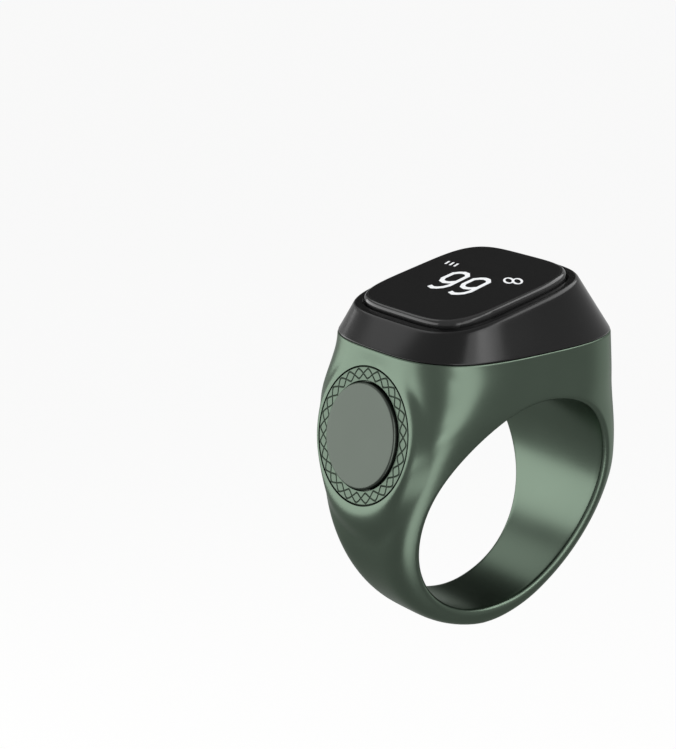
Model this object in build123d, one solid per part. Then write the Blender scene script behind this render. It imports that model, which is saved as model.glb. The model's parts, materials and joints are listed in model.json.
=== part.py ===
from build123d import *
import os
from math import acos, atan2, cos, degrees, hypot, pi, radians, sin, sqrt, tan

# Digital counting ring: a flaring metal ring with a tilted display on top and a push button on its side.
# Millimetres and degrees. Origin at the centre of the finger hole, Y along the finger, Z up towards the
# display, the button on the -X side.

# Finger hole and band
BORE_DIAMETER = 20.0
BORE_RIM_RADIUS = 0.45
BAND_THICKNESS = 1.72          # metal under the finger
BAND_ARC_RISE = 0.77           # centre of the band's outer arc above the axis of the hole
BAND_MIDDLE_WIDTH = 12.4       # width of the band level with the axis of the hole
BAND_TOE_ROUND = 0.7           # how far the outer edges round off at the lowest point
BAND_EXPONENT = 5.9            # corner squareness of the band's level sections
TOE_EXPONENT = 4.0
TOE_ANGLE = 84.0               # the band's outer surface ends in a small flat this far round its arc
FLANK_FLARE = 16.7             # each flank leans out towards the head by this angle
FLANK_BOW_RADIUS = 125.0       # and bows outwards with this radius

# Head of the ring, where the cover sits
HEAD_HEIGHT = 4.2              # top of the hole to the seam with the cover
HEAD_LENGTH = 21.86            # along X at the seam
HEAD_WIDTH = 18.6              # along Y
HEAD_EXPONENT = 3.1
HEAD_BLEND = 0.5               # softness of the turn from the leaning flank to the upright head
HEAD_WALL = 1.23
HEAD_FLOOR = 0.9               # metal between the hole and the tub
LEDGE_WIDTH = 1.4

# Button pad on the -X side
PAD_STANDOFF = 1.993           # pad centre beyond the side of the hole
PAD_DROP = 7.1                 # pad centre below the seam
PAD_TILT = 11.58               # the pad faces this much upwards
PAD_RADIUS = 6.0
PAD_SWELL_RADIUS = 6.0         # the boss is full out to here
PAD_FADE_RADIUS = 7.3          # and has merged with the body here
PAD_MACHINING = 0.04           # boss height faced off to make the pad flat
PAD_SIDE_SQUARING = 5.8        # the -X side turns as square as the band this far below the seam
PAD_SIDE_UPRIGHT_Z = 13.5      # from here to the seam the -X side stands upright
PAD_SIDE_LEAN_Z = 8.0          # and it leans like the other side below here

# Button stack, depths measured inwards from the pad
TRIM_OUTER_RADIUS = 5.78
TRIM_INNER_RADIUS = 4.54
TRIM_THICKNESS = 0.6
TRIM_FIT = 0.02
BUTTON_GAP = 0.12
BUTTON_PROUD = 0.35
BUTTON_EDGE_RADIUS = 0.22
BUTTON_FLANGE_RADIUS = 5.0
BUTTON_FLANGE_THICKNESS = 0.6
BUTTON_STOP_GAP = 0.02
BUTTON_TRAVEL = 0.25
BUTTON_WELL_CLEARANCE = 0.1
BUTTON_FLOOR_MARGIN = 0.13
SEAL_WIRE_RADIUS = 0.18
SEAL_WALL_GAP = 0.05
SEAL_GROOVE_CLEARANCE = 0.03
DOME_RADIUS = 2.0
DOME_HEIGHT = 0.32
DOME_SHEET = 0.08
DOME_TOUCH_GAP = 0.02
STEM_RADIUS = 0.8
FLEX_THICKNESS = 0.12
SWITCH_FLEX_WIDTH = 2.6
SWITCH_FLEX_DISC_RADIUS = 2.7
STIFFENER_RADIUS = 3.0
STIFFENER_THICKNESS = 0.28
SWITCH_POCKET_CLEARANCE = 0.2
FLEX_SLOT_CLEARANCE = 0.4
PAD_BACK_WALL = 1.15           # metal behind the button well, towards the tub

# Cover with its tilted window
DISPLAY_TILT = 11.247
DISPLAY_SHIFT = 1.261          # window centre towards the button
DISPLAY_RISE = 4.305           # window centre above the seam
LENS_LENGTH = 14.49
LENS_WIDTH = 13.7
LENS_EXPONENT = 4.26
LENS_THICKNESS = 1.0
LENS_PROUD = 0.6
LENS_EDGE_RADIUS = 0.22
LENS_CLEARANCE = 0.1
LENS_FILM = 0.1
BEZEL_RIM_LENGTH = 16.04
BEZEL_RIM_WIDTH = 15.59
BEZEL_RIM_EXPONENT = 3.93
BEZEL_SHOULDER_RADIUS = 0.4
BEZEL_WALL = 1.23
BEZEL_PLATE = 1.35             # thickness of the window frame
SKIRT_THICKNESS = 0.7
SKIRT_CLEARANCE = 0.1
SKIRT_LEDGE_GAP = 0.1
GASKET_WIDTH = 0.5
GASKET_THICKNESS = 0.4
GASKET_CLEARANCE = 0.05
SNAP_LENGTH = 2.2
SNAP_HEIGHT = 0.35
SNAP_REACH = 0.2
SNAP_SPACING = 8.0
SNAP_CLEARANCE = 0.1

# Display panel
PANEL_LENGTH = 11.8
PANEL_WIDTH = 10.6
PANEL_THICKNESS = 1.1
PANEL_CLEARANCE = 0.1
PANEL_CORNER_RADIUS = 0.3
FOAM_THICKNESS = 0.4
FOAM_INSET = 0.4
PANEL_FLEX_WIDTH = 4.4
PANEL_FLEX_LAND = 1.0
PANEL_FLEX_BEND = 0.5

# Circuit board and what it carries
BOARD_THICKNESS = 0.6
BOARD_CLEARANCE = 0.15
SCREW_SPACING_X = 13.2
SCREW_SPACING_Y = 9.2
SCREW_RADIUS = 0.6
SCREW_HEAD_RADIUS = 1.0
SCREW_HEAD_HEIGHT = 0.5
SCREW_DEPTH = 1.6              # thread below the board
SCREW_FIT = 0.02
SCREW_DRIVE_RADIUS = 0.42
SCREW_DRIVE_DEPTH = 0.28
BOSS_RADIUS = 1.3
CONNECTOR_HEIGHT = 0.8
CONNECTOR_LENGTH = 1.8
CONNECTOR_WALL = 0.5
CONNECTOR_GRIP = 0.9           # how far a flex goes into its socket
FLEX_FIT = 0.03
SWITCH_CONNECTOR_X = -6.3
PANEL_CONNECTOR_X = 1.9
CONTROLLER_SIZE = 4.0
CONTROLLER_HEIGHT = 0.75
CONTROLLER_PLACE = (-1.6, 3.6)
CHARGE_CHIP_SIZE = 2.0
CHARGE_CHIP_HEIGHT = 0.6
CHARGE_CHIP_PLACE = (-1.5, -4.2)
CHIP_BEVEL = 0.12
PIN_MARK_RADIUS = 0.25
PIN_MARK_DEPTH = 0.06
CRYSTAL_LENGTH = 2.0
CRYSTAL_WIDTH = 1.6
CRYSTAL_HEIGHT = 0.5
CRYSTAL_PLACE = (-4.9, 2.9)
CRYSTAL_CORNER_RADIUS = 0.3
ANTENNA_LENGTH = 3.2
ANTENNA_WIDTH = 1.2
ANTENNA_HEIGHT = 0.8
ANTENNA_PLACE = (3.0, -5.7)
ANTENNA_CAP = 0.4
PASSIVE_LENGTH = 1.0
PASSIVE_WIDTH = 0.5
PASSIVE_HEIGHT = 0.35
PASSIVE_PITCH = 0.95
PASSIVE_ROWS = ((5.3, -1.4, 4), (-4.0, -4.6, 3))   # X, first Y and count of each row

# Battery
BATTERY_LENGTH = 10.0
BATTERY_WIDTH = 11.0
BATTERY_THICKNESS = 2.0
BATTERY_EDGE_RADIUS = 0.6
BATTERY_SEAM = 0.3
BATTERY_PAD_INSET = 1.0
BATTERY_PAD_THICKNESS = 0.2
BATTERY_BOARD_GAP = 0.1
LEAD_RADIUS = 0.22
BATTERY_LEAD_SPACING = 2.4
BATTERY_LEAD_REACH = 0.9
BATTERY_LEAD_BEND = 0.45

# Vibration motor, axis along X
MOTOR_RADIUS = 2.5
MOTOR_LENGTH = 1.7
MOTOR_SHEET = 0.2
MOTOR_BASE_THICKNESS = 0.25
MOTOR_SHAFT_RADIUS = 0.3
MOTOR_SHAFT_FIT = 0.05
MOTOR_CLEARANCE = 0.05
MOTOR_BEHIND_GAP = 0.1
ROTOR_RADIUS = 2.1
ROTOR_HUB_RADIUS = 0.75
ROTOR_END_GAP = 0.15
MOTOR_LEAD_SPACING = 1.0
MOTOR_LEAD_INSET = 0.3

# Charging contacts on the back of the head
CONTACT_PITCH = 3.4
CONTACT_RADIUS = 0.6
CONTACT_HEAD = 0.9
CONTACT_TAIL_RADIUS = 0.3
CONTACT_TAIL_STANDOUT = 0.15   # solder end above the board
CONTACT_WALL_GAP = 0.2
CONTACT_FIT = 0.02
CONTACT_RECESS = 0.08
CONTACT_BLOCK_LENGTH = 6.4
CONTACT_BLOCK_HEIGHT = 1.8
CONTACT_BLOCK_FIT = 0.02
MAGNET_RADIUS = 0.9
MAGNET_LENGTH = 1.2
MAGNET_SPACING = 10.2
MAGNET_FIT = 0.03
MAGNET_COVER = 1.4             # metal left between magnet and outer face

# Level sections of the body
OUTLINE_POINTS = 48
ARC_SECTIONS = 12
HEAD_SECTIONS = 12

# Worked out from the driving dimensions
BORE_RADIUS = BORE_DIAMETER / 2
SEAM_Z = BORE_RADIUS + HEAD_HEIGHT
BOTTOM_Z = -(BORE_RADIUS + BAND_THICKNESS)
ARC_RADIUS = BAND_ARC_RISE - BOTTOM_Z
FLOOR_Z = BORE_RADIUS + HEAD_FLOOR
BATTERY_Z = FLOOR_Z + BATTERY_PAD_THICKNESS
LEDGE_Z = BATTERY_Z + BATTERY_THICKNESS + BATTERY_BOARD_GAP
BOARD_TOP_Z = LEDGE_Z + BOARD_THICKNESS
SOCKET_Z = BOARD_TOP_Z + CONNECTOR_HEIGHT / 2
PAST = 30.0                    # length of a cutter that runs clear of the part
FACING_DEPTH = 1.0             # height of the cutter that faces the pad, over PAD_MACHINING
SAME_PLACE = 0.001             # points closer than this are taken as one

BUTTON_RADIUS = TRIM_INNER_RADIUS - BUTTON_GAP
FLANGE_TOP = TRIM_THICKNESS + BUTTON_STOP_GAP
FLANGE_BOTTOM = FLANGE_TOP + BUTTON_FLANGE_THICKNESS
WELL_RADIUS = BUTTON_FLANGE_RADIUS + BUTTON_WELL_CLEARANCE
WELL_DEPTH = FLANGE_BOTTOM + BUTTON_TRAVEL + BUTTON_FLOOR_MARGIN
DOME_TOP = WELL_DEPTH + DOME_SHEET
FLEX_TOP = DOME_TOP + DOME_HEIGHT
STIFFENER_TOP = FLEX_TOP + FLEX_THICKNESS
POCKET_DEPTH = STIFFENER_TOP + STIFFENER_THICKNESS
POCKET_RADIUS = STIFFENER_RADIUS + SWITCH_POCKET_CLEARANCE
STEM_BOTTOM = DOME_TOP - DOME_TOUCH_GAP
TUB_BACK_DEPTH = WELL_DEPTH + PAD_BACK_WALL
PAD_CENTRE = Vector(-(BORE_RADIUS + PAD_STANDOFF), 0, SEAM_Z - PAD_DROP)
PAD_OUT = Vector(-cos(radians(PAD_TILT)), 0, sin(radians(PAD_TILT)))
PAD = Plane(PAD_CENTRE, x_dir=(0, -1, 0), z_dir=PAD_OUT).location

DISPLAY_CENTRE = Vector(-DISPLAY_SHIFT, 0, SEAM_Z + DISPLAY_RISE)
DISPLAY_ALONG = Vector(cos(radians(DISPLAY_TILT)), 0, sin(radians(DISPLAY_TILT)))
DISPLAY_OUT = Vector(-sin(radians(DISPLAY_TILT)), 0, cos(radians(DISPLAY_TILT)))
DISPLAY = Plane(DISPLAY_CENTRE, x_dir=DISPLAY_ALONG, z_dir=DISPLAY_OUT).location
LENS_SEAT = LENS_THICKNESS + LENS_FILM
PANEL_BACK = LENS_SEAT + PANEL_THICKNESS
PLATE_BACK = LENS_PROUD + BEZEL_PLATE


def smooth_step(value):
    share = min(max(value, 0), 1)
    return share * share * (3 - 2 * share)


def squared_oval(half_length, half_width, exponent):
    # points of |x/a|^n + |y/b|^n = 1, at even angles of the oval drawn to a unit square
    points = []
    for step in range(OUTLINE_POINTS):
        angle = 2 * pi * step / OUTLINE_POINTS
        reach = (abs(cos(angle)) ** exponent + abs(sin(angle)) ** exponent) ** (-1 / exponent)
        points.append((half_length * cos(angle) * reach, half_width * sin(angle) * reach))
    return points


def oval_face(half_length, half_width, exponent):
    return make_face(Spline(*squared_oval(half_length, half_width, exponent), periodic=True))


# Side profile of the body: a round arc under the finger, then a straight line leaning in to the seam
SEAM_REACH = hypot(HEAD_LENGTH / 2, SEAM_Z - BAND_ARC_RISE)
TANGENT_ANGLE = atan2(SEAM_Z - BAND_ARC_RISE, HEAD_LENGTH / 2) - acos(ARC_RADIUS / SEAM_REACH)
TANGENT_X = ARC_RADIUS * cos(TANGENT_ANGLE)
TANGENT_Z = BAND_ARC_RISE + ARC_RADIUS * sin(TANGENT_ANGLE)


def body_half_length(height):
    if height > TANGENT_Z:
        share = (height - TANGENT_Z) / (SEAM_Z - TANGENT_Z)
        return TANGENT_X + (HEAD_LENGTH / 2 - TANGENT_X) * share
    return sqrt(ARC_RADIUS ** 2 - (height - BAND_ARC_RISE) ** 2)


def body_half_width(height):
    flank = BAND_MIDDLE_WIDTH / 2 + height * tan(radians(FLANK_FLARE))
    flank += height ** 2 / (2 * FLANK_BOW_RADIUS)
    upright = HEAD_WIDTH / 2
    width = (flank + upright - hypot(flank - upright, HEAD_BLEND)) / 2
    low = min(max(-(height + BORE_RADIUS) / BAND_THICKNESS, 0), 1)
    return width - BAND_TOE_ROUND * (1 - sqrt(1 - low ** 2))


def body_exponent(height):
    if height < 0:
        return BAND_EXPONENT - (BAND_EXPONENT - TOE_EXPONENT) * (height / BOTTOM_Z) ** 2
    return HEAD_EXPONENT + (BAND_EXPONENT - HEAD_EXPONENT) * smooth_step(1 - height / BORE_RADIUS)


def pad_swell(along, height):
    # share of the button boss at a place on the -X side: 1 on the pad, 0 where it has merged
    rise = (height - PAD_CENTRE.Z) / cos(radians(PAD_TILT))
    distance = hypot(along, rise)
    return smooth_step((PAD_FADE_RADIUS - distance) / (PAD_FADE_RADIUS - PAD_SWELL_RADIUS))


def pad_side_half_length(height):
    upright = smooth_step((height - PAD_SIDE_LEAN_Z) / (PAD_SIDE_UPRIGHT_Z - PAD_SIDE_LEAN_Z))
    leaning = body_half_length(height)
    return leaning + (HEAD_LENGTH / 2 - leaning) * upright


def pad_side_exponent(height):
    if height < 0:
        return body_exponent(height)
    square = smooth_step((SEAM_Z - height) / PAD_SIDE_SQUARING)
    return HEAD_EXPONENT + (BAND_EXPONENT - HEAD_EXPONENT) * square


def body_section(height):
    half_width = body_half_width(height)
    outline = squared_oval(body_half_length(height), half_width, body_exponent(height))
    pad_side = squared_oval(pad_side_half_length(height), half_width, pad_side_exponent(height))
    pad_x = PAD_CENTRE.X + (height - PAD_CENTRE.Z) * tan(radians(PAD_TILT)) - PAD_MACHINING
    points = []
    for (x, y), (side_x, side_y) in zip(outline, pad_side):
        if x < 0:
            x, y = side_x, side_y
            x += pad_swell(y, height) * (pad_x - x)
        points.append((x, y, height))
    return make_face(Spline(*points, periodic=True))


def head_outline(inset):
    return oval_face(HEAD_LENGTH / 2 - inset, body_half_width(SEAM_Z) - inset, HEAD_EXPONENT)


def between(face, low, high):
    return extrude(Pos(0, 0, low) * face, high - low, dir=(0, 0, 1))


def block(place, base, length, width, height):
    shape = Box(length, width, height, align=(Align.CENTER, Align.CENTER, Align.MIN))
    return Pos(place[0], place[1], base) * shape


def pad_disc(radius, top, bottom):
    return PAD * Pos(0, 0, -(top + bottom) / 2) * Cylinder(radius, bottom - top)


def at_display(shape, depth):
    return DISPLAY * Pos(0, 0, -depth) * shape


def screw_places():
    return [(x, y) for x in (-SCREW_SPACING_X / 2, SCREW_SPACING_X / 2)
            for y in (-SCREW_SPACING_Y / 2, SCREW_SPACING_Y / 2)]


def on_bore(edge):
    places = [edge @ share for share in (0, 0.3, 0.6)]
    return all(abs(hypot(place.X, place.Z) - BORE_RADIUS) < SAME_PLACE for place in places)


# Places that several pieces share
CONTACT_Z = (FLOOR_Z + LEDGE_Z) / 2
CONTACT_FACE_Y = body_half_width(CONTACT_Z) - CONTACT_RECESS
TUB_HALF_WIDTH = body_half_width(SEAM_Z) - HEAD_WALL - LEDGE_WIDTH
CONTACT_TAIL_Y = TUB_HALF_WIDTH - CONTACT_WALL_GAP - CONTACT_TAIL_RADIUS
MAGNET_BACK_Y = body_half_width(CONTACT_Z) - MAGNET_COVER
MOTOR_END_X = HEAD_LENGTH / 2 - HEAD_WALL - MOTOR_BEHIND_GAP
MOTOR_START_X = MOTOR_END_X - MOTOR_LENGTH
MOTOR_POCKET_X = MOTOR_START_X - MOTOR_CLEARANCE
MOTOR_POCKET_RADIUS = MOTOR_RADIUS + MOTOR_CLEARANCE
MOTOR_Z = sqrt(FLOOR_Z ** 2 - MOTOR_POCKET_X ** 2) + MOTOR_POCKET_RADIUS
SKIRT_INSET = HEAD_WALL + SKIRT_CLEARANCE
SKIRT_BOTTOM_Z = LEDGE_Z + SKIRT_LEDGE_GAP
SNAP_Z = (SKIRT_BOTTOM_Z + SEAM_Z - GASKET_THICKNESS) / 2
FLEX_SLOT_WIDTH = SWITCH_FLEX_WIDTH + 2 * FLEX_SLOT_CLEARANCE


def along_y(radius, start, end):
    return Rot(-90, 0, 0) * Pos(0, 0, (start + end) / 2) * Cylinder(radius, end - start)


def along_x(radius, start, end):
    return Rot(0, 90, 0) * Pos(0, 0, (start + end) / 2) * Cylinder(radius, end - start)


def contact_stadium(clearance, start, end):
    radius = CONTACT_BLOCK_HEIGHT / 2 + clearance
    face = SlotCenterToCenter(CONTACT_BLOCK_LENGTH - CONTACT_BLOCK_HEIGHT, 2 * radius)
    return Pos(0, start, CONTACT_Z) * Rot(-90, 0, 0) * extrude(face, end - start)


def snap_lugs(clearance):
    lugs = []
    half_length = HEAD_LENGTH / 2 - SKIRT_INSET
    half_width = body_half_width(SEAM_Z) - SKIRT_INSET
    share = (SNAP_SPACING / 2 / half_length) ** HEAD_EXPONENT
    wall_y = half_width * (1 - share) ** (1 / HEAD_EXPONENT)
    depth = SKIRT_THICKNESS / 2 + SNAP_REACH + clearance
    centre_y = wall_y + SNAP_REACH + clearance - depth / 2
    for x in (-SNAP_SPACING / 2, SNAP_SPACING / 2):
        for side in (-1, 1):
            shape = Box(SNAP_LENGTH + 2 * clearance, depth, SNAP_HEIGHT + 2 * clearance)
            lugs.append(Pos(x, side * centre_y, SNAP_Z) * shape)
    return lugs


def motor_pocket():
    # round-bottomed slot that the motor drops into from above
    slot = Rot(0, 90, 0) * Cylinder(MOTOR_POCKET_RADIUS, MOTOR_LENGTH + MOTOR_CLEARANCE + MOTOR_BEHIND_GAP)
    length = MOTOR_LENGTH + MOTOR_CLEARANCE + MOTOR_BEHIND_GAP
    slot += Pos(0, 0, (SEAM_Z - MOTOR_Z) / 2) * Box(length, 2 * MOTOR_POCKET_RADIUS, SEAM_Z - MOTOR_Z)
    return Pos(MOTOR_POCKET_X + length / 2, 0, MOTOR_Z) * slot


def ring_body():
    arc = [BAND_ARC_RISE - ARC_RADIUS * sin(radians(TOE_ANGLE * (1 - step / ARC_SECTIONS)))
           for step in range(ARC_SECTIONS)]
    head = [BAND_ARC_RISE + (SEAM_Z - BAND_ARC_RISE) * step / HEAD_SECTIONS
            for step in range(HEAD_SECTIONS + 1)]
    body = loft([body_section(height) for height in arc + head])
    body -= along_y(BORE_RADIUS, -PAST, PAST)
    body = fillet([edge for edge in body.edges() if on_bore(edge)], BORE_RIM_RADIUS)
    # tub for the electronics, its end wall parallel to the button pad
    tub = between(head_outline(HEAD_WALL + LEDGE_WIDTH), FLOOR_Z, SEAM_Z)
    tub &= pad_disc(PAST, TUB_BACK_DEPTH, TUB_BACK_DEPTH + PAST)
    for x, y in screw_places():
        tub -= Pos(x, y, (FLOOR_Z + LEDGE_Z) / 2) * Cylinder(BOSS_RADIUS, LEDGE_Z - FLOOR_Z)
    body -= tub
    body -= between(head_outline(HEAD_WALL), LEDGE_Z, SEAM_Z)
    gasket_seat = head_outline(HEAD_WALL - GASKET_WIDTH - GASKET_CLEARANCE)
    body -= between(gasket_seat, SEAM_Z - GASKET_THICKNESS, SEAM_Z)
    body -= motor_pocket()
    body -= snap_lugs(SNAP_CLEARANCE)
    for x, y in screw_places():
        hole_depth = SCREW_DEPTH + SCREW_FIT
        body -= Pos(x, y, LEDGE_Z - hole_depth / 2) * Cylinder(SCREW_RADIUS + SCREW_FIT, hole_depth)
    # button pad and the stepped well behind it
    body -= pad_disc(PAD_RADIUS, -FACING_DEPTH, 0)
    body -= pad_disc(TRIM_OUTER_RADIUS + TRIM_FIT, 0, TRIM_THICKNESS)
    body -= pad_disc(WELL_RADIUS, TRIM_THICKNESS, WELL_DEPTH)
    body -= pad_disc(POCKET_RADIUS, WELL_DEPTH, POCKET_DEPTH)
    slot_rise = SEAM_Z - PAD_CENTRE.Z
    slot = Box(FLEX_SLOT_WIDTH, slot_rise, PAD_BACK_WALL + FLEX_SLOT_CLEARANCE)
    slot_depth = WELL_DEPTH + (PAD_BACK_WALL + FLEX_SLOT_CLEARANCE) / 2
    body -= PAD * Pos(0, slot_rise / 2 + POCKET_RADIUS / 2, -slot_depth) * slot & below_seam()
    # charging contacts and their magnets
    body -= contact_stadium(CONTACT_BLOCK_FIT, TUB_HALF_WIDTH - CONTACT_WALL_GAP, PAST)
    for x in (-MAGNET_SPACING / 2, MAGNET_SPACING / 2):
        hole = along_y(MAGNET_RADIUS + MAGNET_FIT, MAGNET_BACK_Y - 2 * MAGNET_LENGTH, MAGNET_BACK_Y)
        body -= Pos(x, 0, CONTACT_Z) * hole
    return body


def below_seam():
    return Pos(0, 0, SEAM_Z - PAST / 2) * Box(2 * PAST, 2 * PAST, PAST)


def top_bezel():
    rim = at_display(oval_face(BEZEL_RIM_LENGTH / 2, BEZEL_RIM_WIDTH / 2, BEZEL_RIM_EXPONENT), LENS_PROUD)
    cover = loft([Pos(0, 0, SEAM_Z) * head_outline(0), rim])
    top = cover.faces().sort_by(Axis(DISPLAY_CENTRE, DISPLAY_OUT))[-1]
    cover = fillet(top.edges(), BEZEL_SHOULDER_RADIUS)
    ceiling = oval_face(BEZEL_RIM_LENGTH / 2 - BEZEL_SHOULDER_RADIUS, BEZEL_RIM_WIDTH / 2 - BEZEL_WALL / 2,
                        BEZEL_RIM_EXPONENT)
    mouth = Pos(0, 0, SEAM_Z) * head_outline(BEZEL_WALL + SKIRT_THICKNESS)
    cover -= loft([mouth, at_display(ceiling, PLATE_BACK)])
    recess = oval_face(LENS_LENGTH / 2 + LENS_CLEARANCE, LENS_WIDTH / 2 + LENS_CLEARANCE, LENS_EXPONENT)
    cover -= at_display(extrude(recess, LENS_SEAT), LENS_SEAT)
    window = RectangleRounded(PANEL_LENGTH + 2 * PANEL_CLEARANCE, PANEL_WIDTH + 2 * PANEL_CLEARANCE,
                              PANEL_CORNER_RADIUS + PANEL_CLEARANCE)
    cover -= at_display(extrude(window, PLATE_BACK), PLATE_BACK)
    skirt = between(head_outline(SKIRT_INSET), SKIRT_BOTTOM_Z, SEAM_Z)
    skirt -= between(head_outline(SKIRT_INSET + SKIRT_THICKNESS), SKIRT_BOTTOM_Z, SEAM_Z)
    cover += skirt
    cover += snap_lugs(0)
    return cover


def bezel_gasket():
    ring = between(head_outline(HEAD_WALL - GASKET_WIDTH), SEAM_Z - GASKET_THICKNESS, SEAM_Z)
    return ring - between(head_outline(HEAD_WALL), SEAM_Z - GASKET_THICKNESS, SEAM_Z)


def display_lens():
    glass = extrude(oval_face(LENS_LENGTH / 2, LENS_WIDTH / 2, LENS_EXPONENT), LENS_THICKNESS)
    glass = fillet(glass.faces().sort_by(Axis.Z)[-1].edges(), LENS_EDGE_RADIUS)
    return at_display(glass, LENS_THICKNESS)


def lens_adhesive():
    film = oval_face(LENS_LENGTH / 2 - LENS_CLEARANCE, LENS_WIDTH / 2 - LENS_CLEARANCE, LENS_EXPONENT)
    return at_display(extrude(film, LENS_FILM), LENS_SEAT)


def oled_panel():
    face = RectangleRounded(PANEL_LENGTH, PANEL_WIDTH, PANEL_CORNER_RADIUS)
    return at_display(extrude(face, PANEL_THICKNESS), PANEL_BACK)


def oled_foam():
    length = PANEL_LENGTH - 2 * FOAM_INSET - PANEL_FLEX_LAND
    face = RectangleRounded(length, PANEL_WIDTH - 2 * FOAM_INSET, PANEL_CORNER_RADIUS)
    foam = Pos(-PANEL_FLEX_LAND / 2, 0, 0) * extrude(face, FOAM_THICKNESS)
    return at_display(foam, PANEL_BACK + FOAM_THICKNESS)


def ribbon(points, radii, width):
    # flat flex of one width carried along a bent path in the XZ plane
    path = FilletPolyline(*points, radius=radii)
    start = Plane(path @ 0, x_dir=(0, 1, 0), z_dir=path % 0)
    return sweep(start * Rectangle(width, FLEX_THICKNESS), path)


def oled_flex():
    depth = PANEL_BACK + FLEX_THICKNESS / 2
    land_end = PANEL_LENGTH / 2
    first = DISPLAY_CENTRE + DISPLAY_ALONG * (land_end - PANEL_FLEX_LAND) - DISPLAY_OUT * depth
    turn = DISPLAY_CENTRE + DISPLAY_ALONG * land_end - DISPLAY_OUT * depth
    socket = Vector(PANEL_CONNECTOR_X + CONNECTOR_LENGTH / 2 - CONNECTOR_GRIP, 0, SOCKET_Z)
    corner = Vector(turn.X, 0, SOCKET_Z)
    return ribbon([first, turn, corner, socket], PANEL_FLEX_BEND, PANEL_FLEX_WIDTH)


def pad_point(rise, depth):
    upward = Vector(sin(radians(PAD_TILT)), 0, cos(radians(PAD_TILT)))
    return PAD_CENTRE + upward * rise - PAD_OUT * depth


def switch_flex():
    depth = FLEX_TOP + FLEX_THICKNESS / 2
    start = pad_point(0, depth)
    rise = (SOCKET_Z - start.Z) / cos(radians(PAD_TILT))
    corner = pad_point(rise, depth)
    socket = Vector(SWITCH_CONNECTOR_X - CONNECTOR_LENGTH / 2 + CONNECTOR_GRIP, 0, SOCKET_Z)
    tail = ribbon([start, corner, socket], CONNECTOR_HEIGHT / 2, SWITCH_FLEX_WIDTH)
    return tail + pad_disc(SWITCH_FLEX_DISC_RADIUS, FLEX_TOP, STIFFENER_TOP)


def switch_stiffener():
    return pad_disc(STIFFENER_RADIUS, STIFFENER_TOP, POCKET_DEPTH)


def switch_dome():
    # shallow spherical sheet standing on its rim
    rise = DOME_HEIGHT - DOME_SHEET
    ball = (DOME_RADIUS ** 2 + rise ** 2) / (2 * rise)
    sheet = Pos(0, 0, rise - ball) * (Sphere(ball + DOME_SHEET) - Sphere(ball))
    sheet &= Pos(0, 0, DOME_HEIGHT / 2) * Cylinder(DOME_RADIUS, DOME_HEIGHT)
    return PAD * Pos(0, 0, -FLEX_TOP) * sheet


def button_trim_ring():
    ring = pad_disc(TRIM_OUTER_RADIUS, 0, TRIM_THICKNESS)
    return ring - pad_disc(TRIM_INNER_RADIUS, 0, TRIM_THICKNESS)


def seal_ring_radius():
    return WELL_RADIUS - SEAL_WALL_GAP - SEAL_WIRE_RADIUS


def button_cap():
    cap = Cylinder(BUTTON_RADIUS, BUTTON_PROUD + FLANGE_BOTTOM)
    cap = Pos(0, 0, (BUTTON_PROUD - FLANGE_BOTTOM) / 2) * cap
    cap = fillet(cap.faces().sort_by(Axis.Z)[-1].edges(), BUTTON_EDGE_RADIUS)
    flange = Cylinder(BUTTON_FLANGE_RADIUS, BUTTON_FLANGE_THICKNESS)
    groove_width = 2 * (SEAL_WIRE_RADIUS + SEAL_GROOVE_CLEARANCE)
    groove_floor = seal_ring_radius() - SEAL_WIRE_RADIUS - SEAL_GROOVE_CLEARANCE
    flange -= Cylinder(PAST, groove_width) - Cylinder(groove_floor, groove_width)
    cap += Pos(0, 0, -(FLANGE_TOP + FLANGE_BOTTOM) / 2) * flange
    stem = Cylinder(STEM_RADIUS, STEM_BOTTOM - FLANGE_BOTTOM)
    cap += Pos(0, 0, -(FLANGE_BOTTOM + STEM_BOTTOM) / 2) * stem
    return PAD * cap


def button_seal():
    return PAD * Pos(0, 0, -(FLANGE_TOP + FLANGE_BOTTOM) / 2) * Torus(seal_ring_radius(), SEAL_WIRE_RADIUS)


def main_board():
    inset = SKIRT_INSET + SKIRT_THICKNESS + BOARD_CLEARANCE
    board = between(head_outline(inset), LEDGE_Z, BOARD_TOP_Z)
    middle = (LEDGE_Z + BOARD_TOP_Z) / 2
    for x, y in screw_places():
        board -= Pos(x, y, middle) * Cylinder(SCREW_RADIUS + SCREW_FIT, BOARD_THICKNESS)
    for x in (-CONTACT_PITCH / 2, CONTACT_PITCH / 2):
        board -= Pos(x, CONTACT_TAIL_Y, middle) * Cylinder(CONTACT_TAIL_RADIUS + CONTACT_FIT, BOARD_THICKNESS)
    # notch that lets the switch flex come up past the end of the board
    flex_x = pad_point((BOARD_TOP_Z - PAD_CENTRE.Z) / cos(radians(PAD_TILT)), FLEX_TOP).X
    notch = Box(PAST, FLEX_SLOT_WIDTH, BOARD_THICKNESS, align=(Align.MAX, Align.CENTER, Align.CENTER))
    return board - Pos(flex_x + 2 * FLEX_SLOT_CLEARANCE, 0, middle) * notch


def chip(place, size, height):
    body = block(place, BOARD_TOP_Z, size, size, height)
    body = chamfer(body.faces().sort_by(Axis.Z)[-1].edges(), CHIP_BEVEL)
    corner = size / 2 - 3 * PIN_MARK_RADIUS
    mark = Cylinder(PIN_MARK_RADIUS, 2 * PIN_MARK_DEPTH)
    return body - Pos(place[0] - corner, place[1] + corner, BOARD_TOP_Z + height) * mark


def crystal():
    can = block(CRYSTAL_PLACE, BOARD_TOP_Z, CRYSTAL_LENGTH, CRYSTAL_WIDTH, CRYSTAL_HEIGHT)
    return fillet(can.edges().filter_by(Axis.Z), CRYSTAL_CORNER_RADIUS)


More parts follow.
